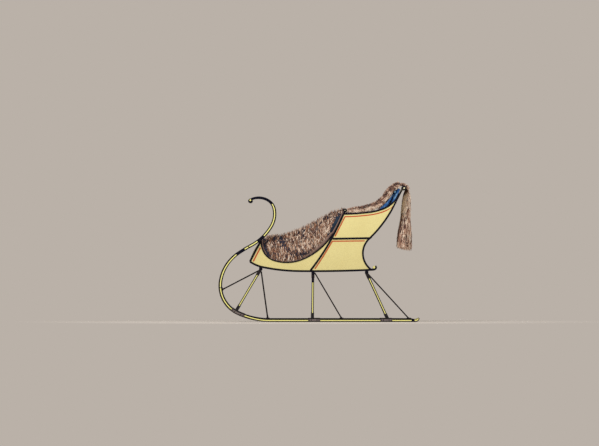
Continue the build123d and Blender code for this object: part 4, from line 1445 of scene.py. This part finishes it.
def lapFact(point, column, slope):
    # column counts from the lower edge: 0 to 12 the side, 13 to 16 the edge, then the top
    x, y, z = point
    side = 1.0 if y >= 0 else -1.0
    onSide = smooth((lapRobe["lastSide"] + 0.5 - column) / 3.0)
    hem = nearness(pillarLine, x, z)
    # the hair lies backwards on the top, down on the sides and forwards beside the pillar
    swept = smooth((0.13 - hem) / 0.06) * smooth(x / 0.06)
    down = Vector((0.10 - 0.62 * swept, 0.10 * side, -1.0))
    back = Vector((-math.cos(slope), 0.35 * side * smooth(abs(y) / 0.3), -math.sin(slope)))
    cover, pale, reach = 1.0, lapRobe["pale"], 1.0
    if column <= lapRobe["lastSide"]:
        # bare hem beside the pillar, and shorter hair towards it and towards the entry
        if x > -0.02 and column <= lapRobe["lastHem"] and hem < lapRobe["hemBand"]:
            cover = 0.0
        gap = min(hem - lapRobe["hemBand"], nearness(entryLine, x, z) - lapRobe["entryBand"])
        reach = between(1.0, between(0.35, 1.0, smooth(gap / 0.06)), smooth((x + 0.12) / 0.12))
        # darker along the seam and in the dark places, painted shade of the parting and the folds together
        # with the lining's own navy where it shows there; paler in the middle and towards the back, a painted
        # highlight; a little darker low down, a painted shade
        ragged = 0.010 * noise.noise(Vector((x * 45, 3.0, z * 25)))
        gap = nearness(lapRobe["seam"], x, z) + 0.4 * ragged
        seam = smooth((0.024 - gap) / 0.018)
        pale = between(pale, -between(0.42, 0.60, smooth((z - 0.76) / 0.04)), seam)
        reach = min(reach, between(0.4, 1.0, smooth((gap - 0.01) / 0.05)))
        for line, width in lapRobe["dark"]:
            pale = min(pale, -0.85 * smooth((width - nearness(line, x, z) + ragged) / width * 1.8))
        if pale > -0.1 and seam < 0.2:
            middle = nearness(lapRobe["middle"], x, z)
            pale += 0.08 * smooth((0.085 - middle) / 0.07) + 0.15 * smooth(x / 0.08)
            pale -= 0.08 * smooth((0.75 - z) / 0.05)
    lift = between(0.55, 0.28, onSide)
    if column in lapRobe["raised"]:
        lift = 0.8
        pale -= 0.07
    if x < -0.54:
        reach = 0.5
    return tuple(down * onSide + back * (1 - onSide)), cover, lift, reach, pale


def makeLapRobe():
    line = outlines["lap"]
    total = lengthOf(line)
    grid = []
    facts = []
    for k in range(lapRobe["rows"]):
        distance = between(lapRobe["front"], total + lapRobe["past"], k / (lapRobe["rows"] - 1))
        x, z, heading = walk(line, max(distance, 0.0))
        if distance < 0:
            x, z = x + distance, z + 0.1 * distance
        if distance > total:
            x, z = beside((x, z, heading - 90), distance - total)
        half = []
        for j, point in enumerate(lapSection((x, z, heading))):
            amount = lapRobe["wavy"] * waved(*point, 9.0, 2.0) * smooth(j / 3)
            half.append(point + (Vector((0, amount, 0)) if j <= 14 else Vector((0, 0, amount - 0.003))))
        whole = half + [Vector((p.x, -p.y, p.z)) for p in half[-2::-1]]
        columns = [*range(len(half)), *range(len(half) - 2, -1, -1)]
        grid.append(whole)
        facts.append([lapFact(point, column, math.radians(heading)) for point, column in zip(whole, columns)])
    return makeHide("lapRobeHide", grid, facts, liningNavy)


lapHide, lapFacts = makeLapRobe()
lapHair = growHair(lapHide, lapFacts, "lapRobeHair", lapRobe["hair"])
lapMore = growHair(lapHide, lapFacts, "lapRobeUnderhair", {**lapRobe["hair"], **lapRobe["under"]})
columns = len(lapFacts) // lapRobe["rows"]
# the edge hair keeps the painted shade of the seam and dark places, and is a little darker elsewhere
guardFacts = []
for k, (comb, cover, lift, reach, pale) in enumerate(lapFacts):
    onEdge = min(k % columns, columns - 1 - k % columns) in lapRobe["guarded"]
    guardFacts.append(((0.25, 0.0, 1.0), 1.0 if onEdge else 0.0, 0.5, reach, pale if pale < -0.4 else -0.08))
lapGuard = growHair(lapHide, guardFacts, "lapRobeEdgeHair", lapRobe["guard"])
backHide(lapHide, lapRobe["thickness"])
finish(lapHide, "robe_fur", ["lap_robe"])
print("robe over the entry made")

# Robe over the seat back: up the squab, over the top bar and down behind in folds of (height, depth)
seatRobe = {
    "line": [(0.563, 0.985), (0.60, 1.085), (0.662, 1.190), (0.724, 1.284), (0.768, 1.338), (0.800, 1.362),
             (0.836, 1.369), (0.864, 1.356), (0.877, 1.325), (0.880, 1.290), (0.872, 1.180), (0.866, 1.050),
             (0.856, 0.900), (0.850, 0.782)],
    "folds": [(0.74, 0.072), (0.90, 0.062), (1.05, 0.041), (1.18, 0.035), (1.26, 0.032), (1.30, 0.024),
              (1.34, 0.012)],
    "halfFall": 0.385, "flare": 1.04, "fold": 0.155, "wander": 0.016, "sway": 0.010, "bulge": 0.006,
    "hemRows": 5, "hemSlope": 0.19, "columns": 97, "rows": 74, "crest": 5, "thickness": 0.004,
    "flat": (1.02, 1.16),
    "hair": {"locks": 40000, "length": 0.056, "width": 0.0060, "stray": 0.22, "curl": 0.22,
             "clumps": (88.0, 40.0, 13.0), "seed": 5, "finish": seatHairFinish},
    "inner": {"locks": 24000, "seed": 8},
    "streak": {"locks": 260, "seed": 71, "finish": robeHair},
    "guard": {"locks": 5200, "length": 0.026, "width": 0.0084, "stray": 0.38, "curl": 0.15,
              "clumps": (50.0, 50.0, 50.0), "seed": 51, "finish": seatHairFinish},
}


def roundedLine(points, count):
    # points evenly spaced along a broken line whose corners are eased
    total = sum(math.dist(first, last) for first, last in zip(points, points[1:]))
    raw = [along(points, total * k / (count - 1)) for k in range(count)]
    for _ in range(6):
        raw = [raw[0]] + [tuple((a + 2 * b + c) / 4 for a, b, c in zip(*three))
                          for three in zip(raw, raw[1:], raw[2:])] + [raw[-1]]
    return raw


def tangentAt(line, k):
    before, after = line[max(0, k - 1)], line[min(len(line) - 1, k + 1)]
    return Vector((after[0] - before[0], after[1] - before[1])).normalized()


def makeSeatRobe():
    line = roundedLine(seatRobe["line"], seatRobe["rows"])
    top = max(range(len(line)), key=lambda k: line[k][1])
    grid = []
    facts = []
    for k, (x, z) in enumerate(line):
        tangent = tangentAt(line, k)  # the hair side is to the left of the way it runs
        behind = smooth((k - top - 2) / 6.0)
        lower = smooth((1.33 - z) / 0.60) if k > top else 0.0
        upper = 1.0 - smooth(lower * 2)
        fall = seatRobe["halfFall"] * between(1.0, seatRobe["flare"], lower)
        wide = between(sideY(min(x, 0.84), min(z, 1.36), -0.022), fall, behind)
        deep = behind * inTable(seatRobe["folds"], z)
        comb = (tangent.x, 0.0, tangent.y) if k > top else (-tangent.x, 0.0, -tangent.y)
        if abs(k - top) < seatRobe["crest"]:
            comb = (0.3 * (k - top) / seatRobe["crest"], 0.0, 0.2)
        hem = max(0, k - len(line) + seatRobe["hemRows"]) / (seatRobe["hemRows"] - 1)
        row = []
        factRow = []
        for j in range(seatRobe["columns"]):
            share = j / (seatRobe["columns"] - 1) * 2 - 1
            y = share * wide
            turn = math.tau * (y + seatRobe["wander"] * waved(0.0, y, z, 3.0, 4.0)) / seatRobe["fold"]
            wave = math.sin(turn + 0.5 * waved(y, 0.0, z, 4.0, 9.0))
            bulge = seatRobe["bulge"] * waved(x, y, z, 8.0, 1.0) * (1 - behind)
            px = x - tangent.y * bulge + deep * wave
            pz = z + tangent.x * bulge - seatRobe["hemSlope"] * (px - line[-1][0]) * hem
            row.append(Vector((px, y + seatRobe["sway"] * lower * math.cos(turn), pz)))
            # darker at the ends of the part in front; on the fall, paler midway between the crests and
            # hollows of its folds, and much paler high up and on the fold parts nearer the seat back, painted
            # light where the roll and the seat back shade it; a little darker low down
            ahead = 0.04 - 0.20 * smooth((abs(share) - 0.84) / 0.08)
            hanging = (0.22 * (1 - abs(wave)) + 0.06 + upper * (0.52 + 0.3 * max(0.0, -wave))
                       - 0.14 * smooth((0.87 - z) / 0.06))
            pale = ahead * (1 - behind) + behind * hanging
            factRow.append((comb, 1.0, between(0.4, 0.28, behind), between(0.4, 1.0, behind), pale))
        grid.append(row[::-1])
        facts.append(factRow[::-1])
    return makeHide("seatRobeHide", grid, facts, robeHide, seatHideFinish)


def innerFact(place, fact):
    # hair on the inside of the fall, paler high up: painted light where the fall is in shade
    comb, cover, lift, reach, pale = fact
    shown = place.x > 0.80 and place.z < 1.30
    return comb, 1.0 if shown else 0.0, lift, reach, pale + 0.3 * smooth((place.z - 1.05) / 0.1)


def streakFact(place, fact):
    # the dark strokes low at the fall's ends
    comb, cover, lift, reach, pale = fact
    shown = abs(place.x - 0.815) < 0.009 and 0.83 < place.z < 0.915 and abs(place.y) > 0.2
    return comb, 1.0 if shown else 0.0, lift, reach, -0.7


seatHide, seatFacts = makeSeatRobe()
seatPlaces = [vertex.co.copy() for vertex in seatHide.data.vertices]
seatHair = growHair(seatHide, seatFacts, "seatRobeHair", seatRobe["hair"])
flipped = newObject("inner", seatHide.data.copy())
flipped.data.flip_normals()
seatInner = growHair(flipped, list(map(innerFact, seatPlaces, seatFacts)), "seatRobeInnerHair",
                     {**seatRobe["hair"], **seatRobe["inner"]})
bpy.data.objects.remove(flipped)
seatStreak = growHair(seatHide, list(map(streakFact, seatPlaces, seatFacts)), "seatRobeStreak",
                      {**seatRobe["hair"], **seatRobe["streak"]})
guardFacts = [((-0.35, 0.0, 0.6), 1.0 if place.x < 0.80 else 0.0, 0.9, 1.0, -0.30) for place in seatPlaces]
seatGuard = growHair(seatHide, guardFacts, "seatRobeEdgeHair", seatRobe["guard"])
backHide(seatHide, seatRobe["thickness"])
finish(seatHide, "robe_fur", ["seat_robe"])

# Fur flaps laid along the arms, forward from the seat back
armFur = {
    "line": [(0.268, 1.102), (0.350, 1.107), (0.42, 1.114), (0.50, 1.129), (0.560, 1.150), (0.612, 1.179),
             (0.660, 1.226), (0.696, 1.282), (0.734, 1.328), (0.776, 1.356), (0.806, 1.366)],
    "heights": [0.008, 0.012, 0.014, 0.016, 0.017, 0.017, 0.016, 0.015, 0.014, 0.012, 0.010],
    "offset": -0.036, "halfWidth": 0.018, "rows": 56, "columns": 15, "guarded": range(3, 12), "reach": 125,
    "thickness": 0.004, "flat": (0.066, 0.62),
    "hair": {"locks": 9500, "length": 0.028, "width": 0.0060, "stray": 0.34, "curl": 0.2,
             "clumps": (54.0, 40.0, 42.0), "seed": 21, "finish": seatHairFinish},
    "guard": {"locks": 2600, "length": 0.026, "width": 0.0084, "stray": 0.42, "curl": 0.15,
              "clumps": (50.0, 50.0, 38.0), "seed": 61, "finish": seatHairFinish},
}


def makeArmFur():
    line = roundedLine(armFur["line"], armFur["rows"])
    grid = []
    facts = []
    for k, (x, z) in enumerate(line):
        tangent = tangentAt(line, k)
        high = evenly(armFur["heights"], k / (len(line) - 1))
        climb = smooth((x - 0.50) / 0.12)
        row = []
        factRow = []
        for j in range(armFur["columns"]):
            angle = math.radians(between(armFur["reach"], -armFur["reach"], j / (armFur["columns"] - 1)))
            cosine, sine = math.cos(angle), math.sin(angle)
            rise = high * cosine * (1.0 if cosine > 0 else 0.8)
            offset = armFur["offset"] + armFur["halfWidth"] * sine * smooth(k / 3.0)
            row.append(onBody(x - tangent.y * rise, z + tangent.x * rise, offset))
            comb = (-tangent.x * 0.6, 0.25 * sine, -tangent.y * 0.6 - 0.35 * abs(sine))
            pale = between(0.62, 0.34, climb) - between(0.68, 0.98, climb) * max(0.0, cosine)
            factRow.append((comb, 1.0, 0.65, between(0.7, 1.1, smooth(k / 10)), pale))
        grid.append(row)
        facts.append(factRow)
    return makeHide("armFurHide", grid, facts, liningNavy, seatHideFinish)


armHide, armFacts = makeArmFur()
armHair = growHair(armHide, armFacts, "armFurHair", armFur["hair"])
guardFacts = []
for k, (comb, cover, lift, reach, pale) in enumerate(armFacts):
    shown = k % armFur["columns"] in armFur["guarded"]
    guardFacts.append(((-0.5, 0.0, 0.5), 1.0 if shown else 0.0, 0.9, reach, -0.22))
armGuard = growHair(armHide, guardFacts, "armFurEdgeHair", armFur["guard"])
backHide(armHide, armFur["thickness"])
armPairs = [finishPair(piece, base, "robe_fur") for piece, base in (
    (armHide, "armFurHide"), (armHair, "armFurHair"), (armGuard, "armFurEdgeHair"))]
print("robe over the seat made")

# Floor that fades into the paper, soft light, and the side view's camera; lights are rows of name, place,
# target, size and power
stageSetup = {
    "paper": (186, 177, 168), "floorRadius": 3.2, "floorLevel": -0.0006, "ambient": 0.60,
    "lights": [("keyLight", (-3.2, -5.0, 5.2), (0, 0, 0.7), 4.0, 400.0),
               ("sideLight", (4.0, -5.5, 3.0), (0.5, 0, 0.9), 3.5, 110.0),
               ("fillLight", (4.5, 4.2, 3.6), (0, 0, 0.7), 4.0, 120.0)],
    "camera": (-0.195, -133.1, 0.986), "lens": 800.0,
}


def makeFloorDisc():
    rings = [[(radius * cosine, radius * sine, stageSetup["floorLevel"]) for cosine, sine in circle(64)]
             for radius in (stageSetup["floorRadius"], 1.6, 0.8, 0.2)]
    verts, faces, spots = ringMesh(rings, capped=False)
    faces.append(tuple(range(len(verts) - 64, len(verts))))
    disc = newPiece("studioFloor", verts, faces, [], closed=False)
    disc.data.flip_normals()
    look = Finish("floorPaper")
    far = look.wire.out("ShaderNodeVectorMath", {0: look.place}, "Value", operation="LENGTH")
    look.done(Base_Color=paint(*stageSetup["paper"]), Roughness=0.9, Specular_IOR_Level=0.1)
    mixed = look.wire.out("ShaderNodeMixShader", {
        0: look.wire.ramp(far, 1.5, stageSetup["floorRadius"] * 0.98), 1: look.shader.outputs[0],
        2: look.wire.out("ShaderNodeBsdfTransparent")})
    look.wire.put(look.output.inputs["Surface"], mixed)
    disc.data.materials.append(look.material)
    disc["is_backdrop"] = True


def makeWorld():
    # soft light for the sleigh, plain paper where the camera looks past it
    world = bpy.data.worlds.new("studio")
    bpy.context.scene.world = world
    world.use_nodes = True
    world.node_tree.nodes.clear()
    wire = Wiring(world.node_tree)
    light = wire.out("ShaderNodeBackground", {
        "Color": (1.0, 0.985, 0.96, 1.0), "Strength": stageSetup["ambient"]})
    paper = wire.out("ShaderNodeBackground", {"Color": paint(*stageSetup["paper"]), "Strength": 1.0})
    path = wire.add("ShaderNodeLightPath").outputs
    mirrorRays = wire.math("MAXIMUM", path["Is Glossy Ray"], path["Is Transmission Ray"])
    seen = wire.math("MAXIMUM", path["Is Camera Ray"], mirrorRays)
    both = wire.out("ShaderNodeMixShader", {0: seen, 1: light, 2: paper})
    wire.add("ShaderNodeOutputWorld", {"Surface": both})


def areaLight(name, place, target, size, power):
    lamp = newObject(name, bpy.data.lights.new(name, "AREA"))
    lamp.data.shape = "DISK"
    lamp.data.size = size
    lamp.data.energy = power
    lamp.location = place
    lamp.rotation_euler = (Vector(target) - Vector(place)).to_track_quat("-Z", "Y").to_euler()


makeFloorDisc()
makeWorld()
for row in stageSetup["lights"]:
    areaLight(*row)
camera = newObject("camera", bpy.data.cameras.new("camera"))
camera.data.lens = stageSetup["lens"]
camera.data.sensor_width = 36.0
camera.data.clip_start = 1.0
camera.data.clip_end = 400.0
camera.location = stageSetup["camera"]
camera.rotation_euler = (math.radians(90), 0, 0)
bpy.context.scene.camera = camera
bpy.context.scene.view_settings.view_transform = "Standard"

low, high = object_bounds()
